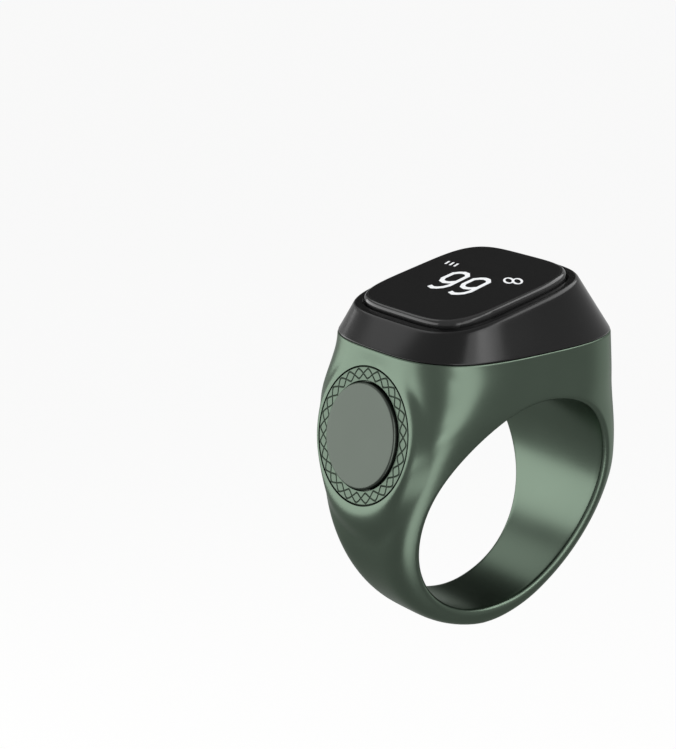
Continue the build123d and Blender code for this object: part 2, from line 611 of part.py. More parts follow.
def chip_antenna():
    body = block(ANTENNA_PLACE, BOARD_TOP_Z, ANTENNA_LENGTH - 2 * ANTENNA_CAP, ANTENNA_WIDTH - CHIP_BEVEL,
                 ANTENNA_HEIGHT - CHIP_BEVEL)
    for side in (-1, 1):
        cap_x = ANTENNA_PLACE[0] + side * (ANTENNA_LENGTH - ANTENNA_CAP) / 2
        body += block((cap_x, ANTENNA_PLACE[1]), BOARD_TOP_Z, ANTENNA_CAP, ANTENNA_WIDTH, ANTENNA_HEIGHT)
    return body


def board_passives():
    places = [(x, first + PASSIVE_PITCH * step) for x, first, count in PASSIVE_ROWS for step in range(count)]
    return [block(place, BOARD_TOP_Z, PASSIVE_LENGTH, PASSIVE_WIDTH, PASSIVE_HEIGHT) for place in places]


def flex_socket(x, flex_width, mouth):
    # socket with a slit for the flex; mouth is the side it opens to along X
    body = block((x, 0), BOARD_TOP_Z, CONNECTOR_LENGTH, flex_width + 2 * CONNECTOR_WALL, CONNECTOR_HEIGHT)
    slit = Box(CONNECTOR_GRIP + FLEX_FIT, flex_width + 2 * FLEX_FIT, FLEX_THICKNESS + 2 * FLEX_FIT)
    slit_x = x + mouth * (CONNECTOR_LENGTH / 2 - (CONNECTOR_GRIP + FLEX_FIT) / 2)
    return body - Pos(slit_x, 0, SOCKET_Z) * slit


def board_screws():
    screw = Pos(0, 0, BOARD_TOP_Z + SCREW_HEAD_HEIGHT / 2) * Cylinder(SCREW_HEAD_RADIUS, SCREW_HEAD_HEIGHT)
    length = SCREW_DEPTH + BOARD_THICKNESS
    screw += Pos(0, 0, BOARD_TOP_Z - length / 2) * Cylinder(SCREW_RADIUS, length)
    drive = extrude(RegularPolygon(SCREW_DRIVE_RADIUS, 6), SCREW_DRIVE_DEPTH)
    screw -= Pos(0, 0, BOARD_TOP_Z + SCREW_HEAD_HEIGHT - SCREW_DRIVE_DEPTH) * drive
    return [Pos(x, y, 0) * screw for x, y in screw_places()]


def battery_cell():
    # folded pouch: rounded long edges and a thin sealed margin at the lead end
    pouch = Box(BATTERY_LENGTH - BATTERY_SEAM, BATTERY_WIDTH, BATTERY_THICKNESS)
    pouch = fillet(pouch.edges().filter_by(Axis.X), BATTERY_EDGE_RADIUS)
    margin = Box(BATTERY_SEAM, BATTERY_WIDTH - 2 * BATTERY_EDGE_RADIUS, BATTERY_THICKNESS / 2)
    pouch = Pos(-BATTERY_SEAM / 2, 0, 0) * pouch + Pos((BATTERY_LENGTH - BATTERY_SEAM) / 2, 0, 0) * margin
    return Pos(0, 0, BATTERY_Z + BATTERY_THICKNESS / 2) * pouch


def battery_pad():
    length = BATTERY_LENGTH - 2 * BATTERY_PAD_INSET
    width = BATTERY_WIDTH - 2 * BATTERY_PAD_INSET
    return block((0, 0), FLOOR_Z, length, width, BATTERY_PAD_THICKNESS)


def battery_leads():
    leads = []
    middle = BATTERY_Z + BATTERY_THICKNESS / 2
    start_x = BATTERY_LENGTH / 2
    for y in (-BATTERY_LEAD_SPACING / 2, BATTERY_LEAD_SPACING / 2):
        corner = (start_x + BATTERY_LEAD_REACH, y, middle)
        path = FilletPolyline((start_x, y, middle), corner, (corner[0], y, LEDGE_Z), radius=BATTERY_LEAD_BEND)
        leads.append(sweep(Plane(path @ 0, z_dir=path % 0) * Circle(LEAD_RADIUS), path))
    return leads


def at_motor(shape):
    return Pos(0, 0, MOTOR_Z) * shape


def motor_can():
    can = along_x(MOTOR_RADIUS, MOTOR_START_X + MOTOR_BASE_THICKNESS, MOTOR_END_X)
    return at_motor(can - along_x(MOTOR_RADIUS - MOTOR_SHEET, MOTOR_START_X, MOTOR_END_X - MOTOR_SHEET))


def motor_base():
    base = along_x(MOTOR_RADIUS, MOTOR_START_X, MOTOR_START_X + MOTOR_BASE_THICKNESS)
    return at_motor(base + along_x(MOTOR_SHAFT_RADIUS, MOTOR_START_X, MOTOR_END_X - MOTOR_SHEET))


def motor_rotor():
    # half-round weight hanging below the shaft, with a full hub
    start = MOTOR_START_X + MOTOR_BASE_THICKNESS + ROTOR_END_GAP
    end = MOTOR_END_X - MOTOR_SHEET - ROTOR_END_GAP
    half = Pos((start + end) / 2, 0, -ROTOR_RADIUS / 2) * Box(end - start, 2 * ROTOR_RADIUS, ROTOR_RADIUS)
    weight = along_x(ROTOR_RADIUS, start, end) & half
    weight += along_x(ROTOR_HUB_RADIUS, start, end)
    return at_motor(weight - along_x(MOTOR_SHAFT_RADIUS + MOTOR_SHAFT_FIT, start, end))


def motor_leads():
    leads = []
    x = MOTOR_START_X + MOTOR_LEAD_INSET + LEAD_RADIUS
    for y in (-MOTOR_LEAD_SPACING / 2, MOTOR_LEAD_SPACING / 2):
        lead = Pos(x, y, (MOTOR_Z + LEDGE_Z) / 2) * Cylinder(LEAD_RADIUS, LEDGE_Z - MOTOR_Z)
        leads.append(lead - at_motor(along_x(MOTOR_RADIUS, MOTOR_START_X, MOTOR_END_X)))
    return leads


def contact_block():
    body = contact_stadium(0, TUB_HALF_WIDTH, CONTACT_FACE_Y)
    for x in (-CONTACT_PITCH / 2, CONTACT_PITCH / 2):
        body -= Pos(x, 0, CONTACT_Z) * along_y(CONTACT_TAIL_RADIUS + CONTACT_FIT, 0, CONTACT_FACE_Y)
        head = along_y(CONTACT_RADIUS + CONTACT_FIT, CONTACT_FACE_Y - CONTACT_HEAD, CONTACT_FACE_Y)
        body -= Pos(x, 0, CONTACT_Z) * head
    return body


def charge_contacts():
    pins = []
    for x in (-CONTACT_PITCH / 2, CONTACT_PITCH / 2):
        head_y = CONTACT_FACE_Y - CONTACT_HEAD
        top = BOARD_TOP_Z + CONTACT_TAIL_STANDOUT
        route = [(x, head_y, CONTACT_Z), (x, CONTACT_TAIL_Y, CONTACT_Z), (x, CONTACT_TAIL_Y, top)]
        path = FilletPolyline(*route, radius=2 * CONTACT_TAIL_RADIUS)
        tail = sweep(Plane(path @ 0, z_dir=path % 0) * Circle(CONTACT_TAIL_RADIUS), path)
        pins.append(tail + Pos(x, 0, CONTACT_Z) * along_y(CONTACT_RADIUS, head_y, CONTACT_FACE_Y))
    return pins


def charge_magnets():
    return [Pos(x, 0, CONTACT_Z) * along_y(MAGNET_RADIUS, MAGNET_BACK_Y - MAGNET_LENGTH, MAGNET_BACK_Y)
            for x in (-MAGNET_SPACING / 2, MAGNET_SPACING / 2)]


def pieces():
    return {
        "ring_body": ring_body(),
        "top_bezel": top_bezel(),
        "bezel_gasket": bezel_gasket(),
        "display_lens": display_lens(),
        "lens_adhesive": lens_adhesive(),
        "oled_panel": oled_panel(),
        "oled_foam": oled_foam(),
        "oled_flex": oled_flex(),
        "main_board": main_board(),
        "controller_chip": chip(CONTROLLER_PLACE, CONTROLLER_SIZE, CONTROLLER_HEIGHT),
        "charge_chip": chip(CHARGE_CHIP_PLACE, CHARGE_CHIP_SIZE, CHARGE_CHIP_HEIGHT),
        "crystal": crystal(),
        "chip_antenna": chip_antenna(),
        "board_passives": board_passives(),
        "display_connector": flex_socket(PANEL_CONNECTOR_X, PANEL_FLEX_WIDTH, 1),
        "switch_connector": flex_socket(SWITCH_CONNECTOR_X, SWITCH_FLEX_WIDTH, -1),
        "board_screws": board_screws(),
        "battery_cell": battery_cell(),
        "battery_pad": battery_pad(),
        "battery_leads": battery_leads(),
        "motor_can": motor_can(),
        "motor_base": motor_base(),
        "motor_rotor": motor_rotor(),
        "motor_leads": motor_leads(),
        "button_trim_ring": button_trim_ring(),
        "button_cap": button_cap(),
        "button_seal": button_seal(),
        "switch_dome": switch_dome(),
        "switch_flex": switch_flex(),
        "switch_stiffener": switch_stiffener(),
        "contact_block": contact_block(),
        "charge_contacts": charge_contacts(),
        "charge_magnets": charge_magnets(),
    }


os.makedirs("parts", exist_ok=True)
for name, piece in pieces().items():
    shapes = piece if isinstance(piece, list) else [piece]
    solids = [solid for shape in shapes for solid in shape.solids()]
    export_step(Compound(children=solids), f"parts/{name}.step")
print("side profile turns straight", round(degrees(TANGENT_ANGLE), 2), "degrees round the arc")
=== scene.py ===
import json

import bmesh
import bpy
import numpy as np
from mathutils import Matrix


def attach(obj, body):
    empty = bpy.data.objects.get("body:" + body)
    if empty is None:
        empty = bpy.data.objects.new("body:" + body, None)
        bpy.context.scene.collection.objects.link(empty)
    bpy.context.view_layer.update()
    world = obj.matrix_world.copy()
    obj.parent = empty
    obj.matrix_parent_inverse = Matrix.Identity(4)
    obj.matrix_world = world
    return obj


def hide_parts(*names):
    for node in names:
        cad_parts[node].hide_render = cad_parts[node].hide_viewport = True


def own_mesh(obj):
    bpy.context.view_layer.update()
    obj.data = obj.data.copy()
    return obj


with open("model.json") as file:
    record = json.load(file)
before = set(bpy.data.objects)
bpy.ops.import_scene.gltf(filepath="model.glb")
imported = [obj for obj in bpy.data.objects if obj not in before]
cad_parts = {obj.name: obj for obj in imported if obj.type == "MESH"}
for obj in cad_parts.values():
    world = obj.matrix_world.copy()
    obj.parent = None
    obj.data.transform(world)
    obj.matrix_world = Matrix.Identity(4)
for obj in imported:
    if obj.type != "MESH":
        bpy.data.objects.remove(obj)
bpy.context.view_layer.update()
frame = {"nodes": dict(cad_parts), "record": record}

scene = bpy.context.scene
mm = 0.001                       # shapes are worked out in millimetres and put into the meshes in metres
weld = 1e-8                      # points of one mesh this close, in metres, are merged
tiny = 1e-12                     # keeps roots and quotients finite


def linearColour(text):          # sRGB hex to linear RGBA
    share = np.array([int(text[i:i + 2], 16) for i in (0, 2, 4)]) / 255
    linear = np.where(share <= 0.04045, share / 12.92, ((share + 0.055) / 1.055) ** 2.4)
    return (*linear.tolist(), 1.0)


def addNode(tree, kind, links=None, **settings):
    # links gives each socket, by name or number, a value or another node's socket
    node = tree.nodes.new("ShaderNode" + kind)
    for key, value in settings.items():
        setattr(node, key, value)
    for socket, value in (links or {}).items():
        if isinstance(value, bpy.types.NodeSocket):
            tree.links.new(value, node.inputs[socket])
        else:
            node.inputs[socket].default_value = value
    return node


def newMaterial(name):
    material = bpy.data.materials.new(name)
    material.use_nodes = True
    material.node_tree.nodes.clear()
    return material, material.node_tree


def smoothStep(value):
    share = np.clip(value, 0, 1)
    return share * share * (3 - 2 * share)


def unit(vectors):
    return vectors / np.linalg.norm(vectors, axis=-1, keepdims=True)


def gridMesh(name, points, wrapRows=False, wrapCols=True, startPole=None, endPole=None):
    # quads between neighbouring rows and columns of a rows x columns x 3 grid;
    # a pole closes an end row with a fan
    rows, cols = points.shape[:2]
    index = np.arange(rows * cols).reshape(rows, cols)
    low = index if wrapRows else index[:-1]
    high = np.roll(index, -1, 0) if wrapRows else index[1:]
    if wrapCols:
        quads = np.stack([low, np.roll(low, -1, 1), np.roll(high, -1, 1), high], -1)
    else:
        quads = np.stack([low[:, :-1], low[:, 1:], high[:, 1:], high[:, :-1]], -1)
    places = [points.reshape(-1, 3)]
    faces = quads.reshape(-1, 4).tolist()
    for row, pole in ((index[0], startPole), (index[-1], endPole)):
        if pole is not None:
            tip = sum(len(part) for part in places)
            places.append(np.asarray(pole, float).reshape(1, 3))
            faces += np.stack([row, np.roll(row, -1), np.full(cols, tip)], -1).tolist()
    mesh = bpy.data.meshes.new(name)
    mesh.from_pydata((np.concatenate(places) * mm).tolist(), [], faces)
    return mesh


def tidyMesh(mesh, sharpAngle=None):
    # doubles merged, faces outwards, then smooth shading with sharp edges past an angle
    work = bmesh.new()
    work.from_mesh(mesh)
    bmesh.ops.remove_doubles(work, verts=work.verts, dist=weld)
    bmesh.ops.recalc_face_normals(work, faces=work.faces)
    work.to_mesh(mesh)
    work.free()
    mesh.polygons.foreach_set("use_smooth", np.ones(len(mesh.polygons), bool))
    if sharpAngle is not None:
        mesh.set_sharp_from_angle(angle=np.radians(sharpAngle))
    mesh.update()


def newPiece(name, mesh, body, finish, slot, *nodes):
    piece = bpy.data.objects.new(name, mesh)
    scene.collection.objects.link(piece)
    mesh.materials.clear()
    mesh.materials.append(finishes[finish])
    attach(piece, body)
    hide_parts(*nodes)
    print("made", name, len(mesh.polygons), "faces")
    return piece


def cutAway(piece, *cutters):            # exact difference, kept as a plain mesh
    for mesh in cutters:
        tidyMesh(mesh)
        tool = bpy.data.objects.new("cutter", mesh)
        scene.collection.objects.link(tool)
        cut = piece.modifiers.new("cut", "BOOLEAN")
        cut.operation, cut.solver, cut.object = "DIFFERENCE", "EXACT", tool
        bpy.context.view_layer.update()
        done = bpy.data.meshes.new_from_object(piece.evaluated_get(bpy.context.evaluated_depsgraph_get()))
        piece.modifiers.clear()
        old = piece.data
        piece.data = done
        bpy.data.meshes.remove(old)
        bpy.data.objects.remove(tool)
        bpy.data.meshes.remove(mesh)


def joinMeshes(name, meshes):
    work = bmesh.new()
    for mesh in meshes:
        work.from_mesh(mesh)
        bpy.data.meshes.remove(mesh)
    joined = bpy.data.meshes.new(name)
    work.to_mesh(joined)
    work.free()
    return joined


# Materials

noiseSpan = {1: 0.3, 2: 0.7}             # MapRange sockets: where most of a noise texture's values lie


def satinAluminium(name, hexColour, roughness, darkHex=None):
    # anodised aluminium, blasted with fine glass beads before dyeing:
    # a soft metal sheen with no visible grain lines
    beadMm, cloudMm = 0.16, 6            # real pits are about 0.04 mm, drawn coarser so that they show
    material, tree = newMaterial(name)
    place = addNode(tree, "TexCoord").outputs["Object"]
    pits = addNode(tree, "TexNoise", {"Vector": place, "Scale": 1 / (beadMm * mm), "Detail": 2.0})
    cloud = addNode(tree, "TexNoise", {"Vector": place, "Scale": 1 / (cloudMm * mm), "Detail": 2.0})
    rough = addNode(tree, "MapRange", {0: cloud.outputs["Fac"], **noiseSpan,
                                       3: roughness - 0.02, 4: roughness + 0.02})
    tone = addNode(tree, "MapRange", {0: cloud.outputs["Fac"], **noiseSpan, 3: 0.96, 4: 1.04})
    dye = addNode(tree, "Mix", {"Factor": 1.0, "A": linearColour(hexColour), "B": tone.outputs[0]},
                  data_type="RGBA", blend_type="MULTIPLY")
    colour = dye.outputs["Result"]
    if darkHex:                          # engraved lines hold black paint
        mask = addNode(tree, "Attribute", attribute_name="groove").outputs["Fac"]
        paint = addNode(tree, "Mix", {"Factor": mask, "A": colour, "B": linearColour(darkHex)},
                        data_type="RGBA")
        colour = paint.outputs["Result"]
    bump = addNode(tree, "Bump", {"Strength": 0.12, "Distance": 0.004 * mm, "Height": pits.outputs["Fac"]})
    shader = addNode(tree, "BsdfPrincipled", {
        "Base Color": colour, "Metallic": 1.0, "Roughness": rough.outputs[0],
        "Specular Tint": linearColour("d2d8d2"), "Normal": bump.outputs["Normal"]})
    addNode(tree, "OutputMaterial", {"Surface": shader.outputs["BSDF"]})
    return material


def mouldedFinish(name, hexColour, roughness, ior, grainMm, grainDepth, specular=0.5):
    # moulded or cast surface: even colour, faint clouding and a fine skin texture of one grain size
    cloudMm = 5
    material, tree = newMaterial(name)
    place = addNode(tree, "TexCoord").outputs["Object"]
    skin = addNode(tree, "TexNoise", {"Vector": place, "Scale": 1 / (grainMm * mm), "Detail": 3.0})
    cloud = addNode(tree, "TexNoise", {"Vector": place, "Scale": 1 / (cloudMm * mm), "Detail": 1.0})
    rough = addNode(tree, "MapRange", {0: cloud.outputs["Fac"], **noiseSpan,
                                       3: roughness * 0.92, 4: roughness * 1.08})
    bump = addNode(tree, "Bump", {"Strength": 0.2, "Distance": grainDepth * mm,
                                  "Height": skin.outputs["Fac"]})
    shader = addNode(tree, "BsdfPrincipled", {
        "Base Color": linearColour(hexColour), "Roughness": rough.outputs[0], "IOR": ior,
        "Specular IOR Level": specular, "Normal": bump.outputs["Normal"]})
    addNode(tree, "OutputMaterial", {"Surface": shader.outputs["BSDF"]})
    return material


def platedMetal(name, hexColour, roughness, grainMm):
    # stamped or plated metal: a bright mirror broken up by a fine rolled grain
    material, tree = newMaterial(name)
    place = addNode(tree, "TexCoord").outputs["Object"]
    grain = addNode(tree, "TexNoise", {"Vector": place, "Scale": 1 / (grainMm * mm), "Detail": 3.0})
    rough = addNode(tree, "MapRange", {0: grain.outputs["Fac"], **noiseSpan,
                                       3: roughness - 0.05, 4: roughness + 0.05})
    shader = addNode(tree, "BsdfPrincipled", {"Base Color": linearColour(hexColour), "Metallic": 1.0,
                                              "Roughness": rough.outputs[0]})
    addNode(tree, "OutputMaterial", {"Surface": shader.outputs["BSDF"]})
    return material


def litPixels(name, hexColour, pitchMm):
    # light-emitting pixels behind the glass: even white with the faint dark lines between pixels,
    # drawn about six times coarser than the real pitch so that they show
    waveTurn = 20                        # radians that a wave texture turns in one unit at scale 1
    material, tree = newMaterial(name)
    place = addNode(tree, "TexCoord").outputs["Object"]
    lines = addNode(tree, "TexWave", {"Vector": place, "Scale": 1 / (pitchMm * mm) / waveTurn},
                    bands_direction="Y")
    level = addNode(tree, "MapRange", {0: lines.outputs["Fac"], 1: 0.0, 2: 0.3, 3: 0.88, 4: 1.0})
    shader = addNode(tree, "BsdfPrincipled", {"Base Color": linearColour("101010"), "Roughness": 0.5,
                                              "Emission Color": linearColour(hexColour),
                                              "Emission Strength": level.outputs[0]})
    addNode(tree, "OutputMaterial", {"Surface": shader.outputs["BSDF"]})
    return material


# moulded finishes give colour, roughness, IOR, grain size and depth in mm, specular level;
# plated metals give colour, roughness and grain size in mm
finishes = {
    # satin green with a broad soft sheen, black in the engraved lines, greyer on the button
    "anodised_green": satinAluminium("anodisedAluminiumBlasted", "505c51", 0.30),
    "anodised_trim": satinAluminium("anodisedAluminiumEngraved", "4a554b", 0.32, "0d110d"),
    "button": satinAluminium("anodisedAluminiumButton", "434843", 0.34),
    # gloss black with a weak but clear mirror
    "bezel_black": mouldedFinish("polycarbonateMouldedBlack", "080808", 0.22, 1.5, 0.5, 0.002, 0.26),
    # anti-reflection coat keeps the face an even black, while the bare rolled edge takes a bright line
    "lens_black": mouldedFinish("coverGlassCoatedFace", "1e1e1e", 0.10, 1.45, 2.0, 0.0005, 0.015),
    "lens_edge": mouldedFinish("coverGlassPolishedEdge", "1e1e1e", 0.10, 1.45, 2.0, 0.0005, 0.4),
    # pale milky film, half gloss
    "clear_film": mouldedFinish("acrylicAdhesiveFilm", "c8cacb", 0.3, 1.47, 0.4, 0.002),
    # dull black with a fine skin
    "seal_rubber": mouldedFinish("siliconeRubberMoulded", "1d1e1d", 0.6, 1.41, 0.15, 0.004),
    # dark glass with a sharp mirror
    "panel_glass": mouldedFinish("displayGlassLaminated", "101114", 0.12, 1.52, 1.0, 0.001),
    # matt black with open pores
    "foam_black": mouldedFinish("polyurethaneFoamCut", "232323", 0.9, 1.4, 0.12, 0.05),
    # amber brown film, half gloss
    "flex_print": mouldedFinish("polyimideFilmEtched", "9a5a1e", 0.35, 1.7, 0.3, 0.002),
    # dark green lacquer over a faint weave
    "board_laminate": mouldedFinish("glassEpoxySolderMasked", "14402a", 0.4, 1.5, 0.25, 0.006),
    # charcoal with a sandy skin
    "chip_epoxy": mouldedFinish("epoxyTransferMoulded", "1b1c1d", 0.55, 1.55, 0.08, 0.01),
    # plain black, half matt
    "socket_plastic": mouldedFinish("nylonMouldedBlack", "202021", 0.5, 1.53, 0.2, 0.004),
    # dry off-white
    "ceramic_white": mouldedFinish("ceramicFired", "cfc9bd", 0.6, 1.6, 0.1, 0.006),
    # bright neutral grey, and a softer silver for the foil
    "steel": platedMetal("stainlessSteelStamped", "b4b4b2", 0.3, 0.2),
    "battery_foil": platedMetal("aluminiumFoilLaminate", "b9bbbd", 0.4, 0.5),
    # red jacket, half matt
    "lead_rubber": mouldedFinish("siliconeWireJacket", "8c1f1a", 0.5, 1.41, 0.1, 0.003),
    # warm gold and pale warm silver, nearly mirrors
    "contact_gold": platedMetal("goldPlatedBrass", "d8b25a", 0.22, 0.1),
    "magnet_nickel": platedMetal("nickelPlatedMagnet", "c3c1ba", 0.2, 0.15),
    "lit": litPixels("lightEmittingPixels", "f4f6f8", 0.09),
}
print("materials", len(finishes))


# Ring body

ring = dict(
    bore=10.0, rimRadius=0.45, thickness=1.72, arcRise=0.77,     # finger hole and the band under it
    middleWidth=12.4, toeRound=0.7, bandPower=5.9, toePower=4.0,
    flare=16.7, bow=125.0,                                       # flanks' lean in degrees, bow radius
    headHeight=4.2, headLength=21.86, headWidth=18.6, headPower=3.1, headBlend=0.5,
    headWall=1.23, ledgeWidth=1.4, floor=0.9, ledge=3.2,         # tub in the head, heights above the hole
    seamRound=0.14, seamRows=6, aboveSeam=1.8,
    turns=384, boreSteps=14, rimSteps=8, outerSteps=70,
    farY=12.0, farRadius=20.0, farRay=3.0, slopeStep=0.05,       # where the searches for the surface end
)
pad = dict(
    standoff=1.993, drop=7.1, tilt=11.58,
    swell=5.85, fade=7.0, fadeUnder=9.6, underPower=4,           # boss full to swell, merged at fade
    squaring=7.8, uprightZ=13.5, leanZ=8.0,                      # the -X side is squarer and more upright
    wallEdge=4.6, wallFade=2.4,                                  # straight wall from the pad up to the seam
    tautZ=12.0, tautFade=2.5, tautEdge=0.05, steepest=84, slopes=337,
    rows=801, columns=401,
    seatRadius=5.80, seatDepth=0.6, wellRadius=5.1, wellDepth=1.6, pocketRadius=3.2, pocketDepth=2.4,
)
seamZ = ring["bore"] + ring["headHeight"]
bottomZ = -(ring["bore"] + ring["thickness"])
arcRadius = ring["arcRise"] - bottomZ
padTan, padCos, padSin = (f(np.radians(pad["tilt"])) for f in (np.tan, np.cos, np.sin))
padCentre = np.array([-(ring["bore"] + pad["standoff"]), 0, seamZ - pad["drop"]])
padOut = np.array([-padCos, 0, padSin])
padUp = np.array([padSin, 0, padCos])
padAcross = np.array([0.0, -1.0, 0.0])


def halfLength(z):
    # a round arc under the finger, then its tangent line leaning in to the seam
    end, rise = ring["headLength"] / 2, seamZ - ring["arcRise"]
    turn = np.arctan2(rise, end) - np.arccos(arcRadius / np.hypot(end, rise))
    startX, startZ = arcRadius * np.cos(turn), ring["arcRise"] + arcRadius * np.sin(turn)
    line = startX + (end - startX) * (z - startZ) / (seamZ - startZ)
    arc = np.sqrt(np.maximum(arcRadius ** 2 - (z - ring["arcRise"]) ** 2, tiny))
    return np.where(z > startZ, line, arc)


def halfWidth(z):
    # leaning, bowed flank that turns softly into the upright head, rounded off at the lowest point
    flank = ring["middleWidth"] / 2 + z * np.tan(np.radians(ring["flare"])) + z ** 2 / (2 * ring["bow"])
    upright = ring["headWidth"] / 2
    width = (flank + upright - np.hypot(flank - upright, ring["headBlend"])) / 2
    low = np.clip(-(z + ring["bore"]) / ring["thickness"], 0, 1)
    return width - ring["toeRound"] * (1 - np.sqrt(1 - low ** 2))


seamHalfWidth = float(halfWidth(np.array(seamZ)))


def cornerPower(z):
    # exponent of the squared oval at a height: blunt in the band, rounder at the toe and in the head
    under = ring["bandPower"] - (ring["bandPower"] - ring["toePower"]) * (z / bottomZ) ** 2
    over = ring["headPower"] + (ring["bandPower"] - ring["headPower"]) * smoothStep(1 - z / ring["bore"])
    return np.where(z < 0, under, over)


def padSwell(y, z):
    # share of the button boss at a place on the -X side: 1 on the pad, 0 where it has merged,
    # which is further out straight below the pad
    rise = (z - padCentre[2]) / padCos
    far = np.hypot(y, rise)
    under = np.clip(-rise / np.maximum(far, tiny), 0, 1) ** pad["underPower"]
    fade = pad["fade"] + (pad["fadeUnder"] - pad["fade"]) * under
    return smoothStep((fade - far) / (fade - pad["swell"]))


def padSide():
    # how far the -X side stands out, in rows of height and columns of |y| as a share of the half width:
    # a squarer, more upright oval drawn out to the tilted pad, each level row then drawn taut
    z = np.linspace(bottomZ, seamZ + ring["aboveSeam"], pad["rows"])[:, None]
    across = np.linspace(0, 1, pad["columns"])[None, :]
    y, long = across * halfWidth(z), halfLength(z)
    squared = smoothStep((seamZ - z) / pad["squaring"])
    square = ring["headPower"] + (ring["bandPower"] - ring["headPower"]) * squared
    power = np.where(z < 0, cornerPower(z), square)
    upright = smoothStep((z - pad["leanZ"]) / (pad["uprightZ"] - pad["leanZ"]))
    stand = (1 - across ** power) ** (1 / power) * (long + (ring["headLength"] / 2 - long) * upright)
    padStand = -padCentre[0] - (z - padCentre[2]) * padTan
    stand = stand + padSwell(y, z) * (padStand - stand)
    edgeZ = padCentre[2] + padCos * np.sqrt(np.maximum(pad["swell"] ** 2 - y ** 2, 0))
    edgeStand = -padCentre[0] - (edgeZ - padCentre[2]) * padTan
    seamShare = np.minimum(y / seamHalfWidth, 1)
    seamStand = (1 - seamShare ** ring["headPower"]) ** (1 / ring["headPower"]) * ring["headLength"] / 2
    ruled = edgeStand + (seamStand - edgeStand) * np.clip((z - edgeZ) / (seamZ - edgeZ), 0, 1)
    wall = smoothStep((pad["wallEdge"] - y) / pad["wallFade"]) * (z > edgeZ)
    stand = stand + wall * (ruled - stand)
    taut = np.full_like(stand, np.inf)   # lowest of all the lines that rest on a row
    for slope in np.tan(np.radians(np.linspace(0, pad["steepest"], pad["slopes"]))):
        taut = np.minimum(taut, (stand + slope * y).max(1, keepdims=True) - slope * y)
    share = smoothStep((pad["tautZ"] - z) / pad["tautFade"]) * smoothStep((1 - across) / pad["tautEdge"])
    return stand + share * (taut - stand)


padTable = padSide()


def insideBody(x, y, z):
    # level sections |x/a|^n + |y/b|^n < 1,
    # with the -X side read from the table between its rows and columns
    wide, power = halfWidth(z), cornerPower(z)
    across = np.clip(np.abs(y) / wide, 0, 1)
    side = (1 - across ** power) ** (1 / power) * halfLength(z)
    row = np.clip((z - bottomZ) / (seamZ + ring["aboveSeam"] - bottomZ), 0, 1) * (pad["rows"] - 1)
    column = across * (pad["columns"] - 1)
    i, j = np.minimum(row.astype(int), pad["rows"] - 2), np.minimum(column.astype(int), pad["columns"] - 2)
    s, t = row - i, column - j
    low = padTable[i, j] * (1 - t) + padTable[i, j + 1] * t
    high = padTable[i + 1, j] * (1 - t) + padTable[i + 1, j + 1] * t
    inHeight = (z > bottomZ) & (z < seamZ + ring["aboveSeam"])
    return inHeight & (np.abs(y) < wide) & (x < side) & (x > -(low * (1 - s) + high * s))


def reach(test, low, high, steps=44):    # largest value that still passes, by halving
    for _ in range(steps):
        middle = (low + high) / 2
        hit = test(middle)
        low, high = np.where(hit, middle, low), np.where(hit, high, middle)
    return low


def ringSurface():
    # for each angle round the hole: hole wall, rim fillet,
    # then rays from the section's middle to the outer surface
    angle = 2 * np.pi * np.arange(ring["turns"])[:, None] / ring["turns"]
    c, s = np.cos(angle), np.sin(angle)
    bore, rim, step = ring["bore"], ring["rimRadius"], ring["slopeStep"]
    farY = np.full_like(angle, ring["farY"])
    flank = lambda r: reach(lambda y: insideBody(r * c, y, r * s), np.zeros_like(angle), farY)
    touch = np.full_like(angle, bore + rim / 2)
    for _ in range(6):                   # fillet circle tangent to the hole wall and to the flank
        slope = (flank(touch + step) - flank(touch - step)) / (2 * step)
        length = np.sqrt(1 + slope ** 2)
        middleY = flank(touch) + slope * (bore + rim - touch) - rim * length
        touch = bore + rim - rim * slope / length
    wallY = middleY * np.linspace(0, 1, ring["boreSteps"])[None, :]
    end = np.arctan2(np.ones_like(slope), -slope)
    turn = np.pi + (end - np.pi) * np.linspace(0, 1, ring["rimSteps"] + 1)[None, 1:]
    rimR, rimY = bore + rim + rim * np.cos(turn), middleY + rim * np.sin(turn)
    outer = reach(lambda r: insideBody(r * c, 0 * r, r * s),
                  np.full_like(angle, bore), np.full_like(angle, ring["farRadius"]))
    midR, halfR = (bore + outer) / 2, (outer - bore) / 2
    halfY = flank(midR)
    start = np.arctan2(rimY[:, -1:] / halfY, (rimR[:, -1:] - midR) / halfR)
    bend = start * (1 - np.arange(1, ring["outerSteps"] + 1)[None, :] / ring["outerSteps"])
    rayR, rayY = halfR * np.cos(bend), halfY * np.sin(bend)
    far = reach(lambda t: insideBody((midR + rayR * t) * c, rayY * t, (midR + rayR * t) * s),
                np.zeros_like(bend), np.full_like(bend, ring["farRay"]))
    r = np.concatenate([np.full_like(wallY, bore), rimR, midR + rayR * far], 1)
    y = np.concatenate([wallY, rimY, rayY * far], 1)
    r = np.concatenate([r, r[:, -2:0:-1]], 1)
    y = np.concatenate([y, -y[:, -2:0:-1]], 1)
    return np.stack([r * c, y, r * s], -1)


def squaredOval(length, width, power, count):
    # points of |x/a|^n + |y/b|^n = 1 at even angles of the oval drawn to a unit square
    turn = 2 * np.pi * np.arange(count) / count
    c, s = np.cos(turn), np.sin(turn)
    far = (np.abs(c) ** power + np.abs(s) ** power) ** (-1 / power)
    return np.stack([length / 2 * c * far, width / 2 * s * far], -1)


def levelRow(outline, z):                # outline in X and Y at one height
    return np.concatenate([outline, np.full((len(outline), 1), z)], 1)


def headOutline(inset, count=256):       # squared oval at the seam, drawn in by an inset
    return squaredOval(ring["headLength"] - 2 * inset, 2 * seamHalfWidth - 2 * inset,
                       ring["headPower"], count)


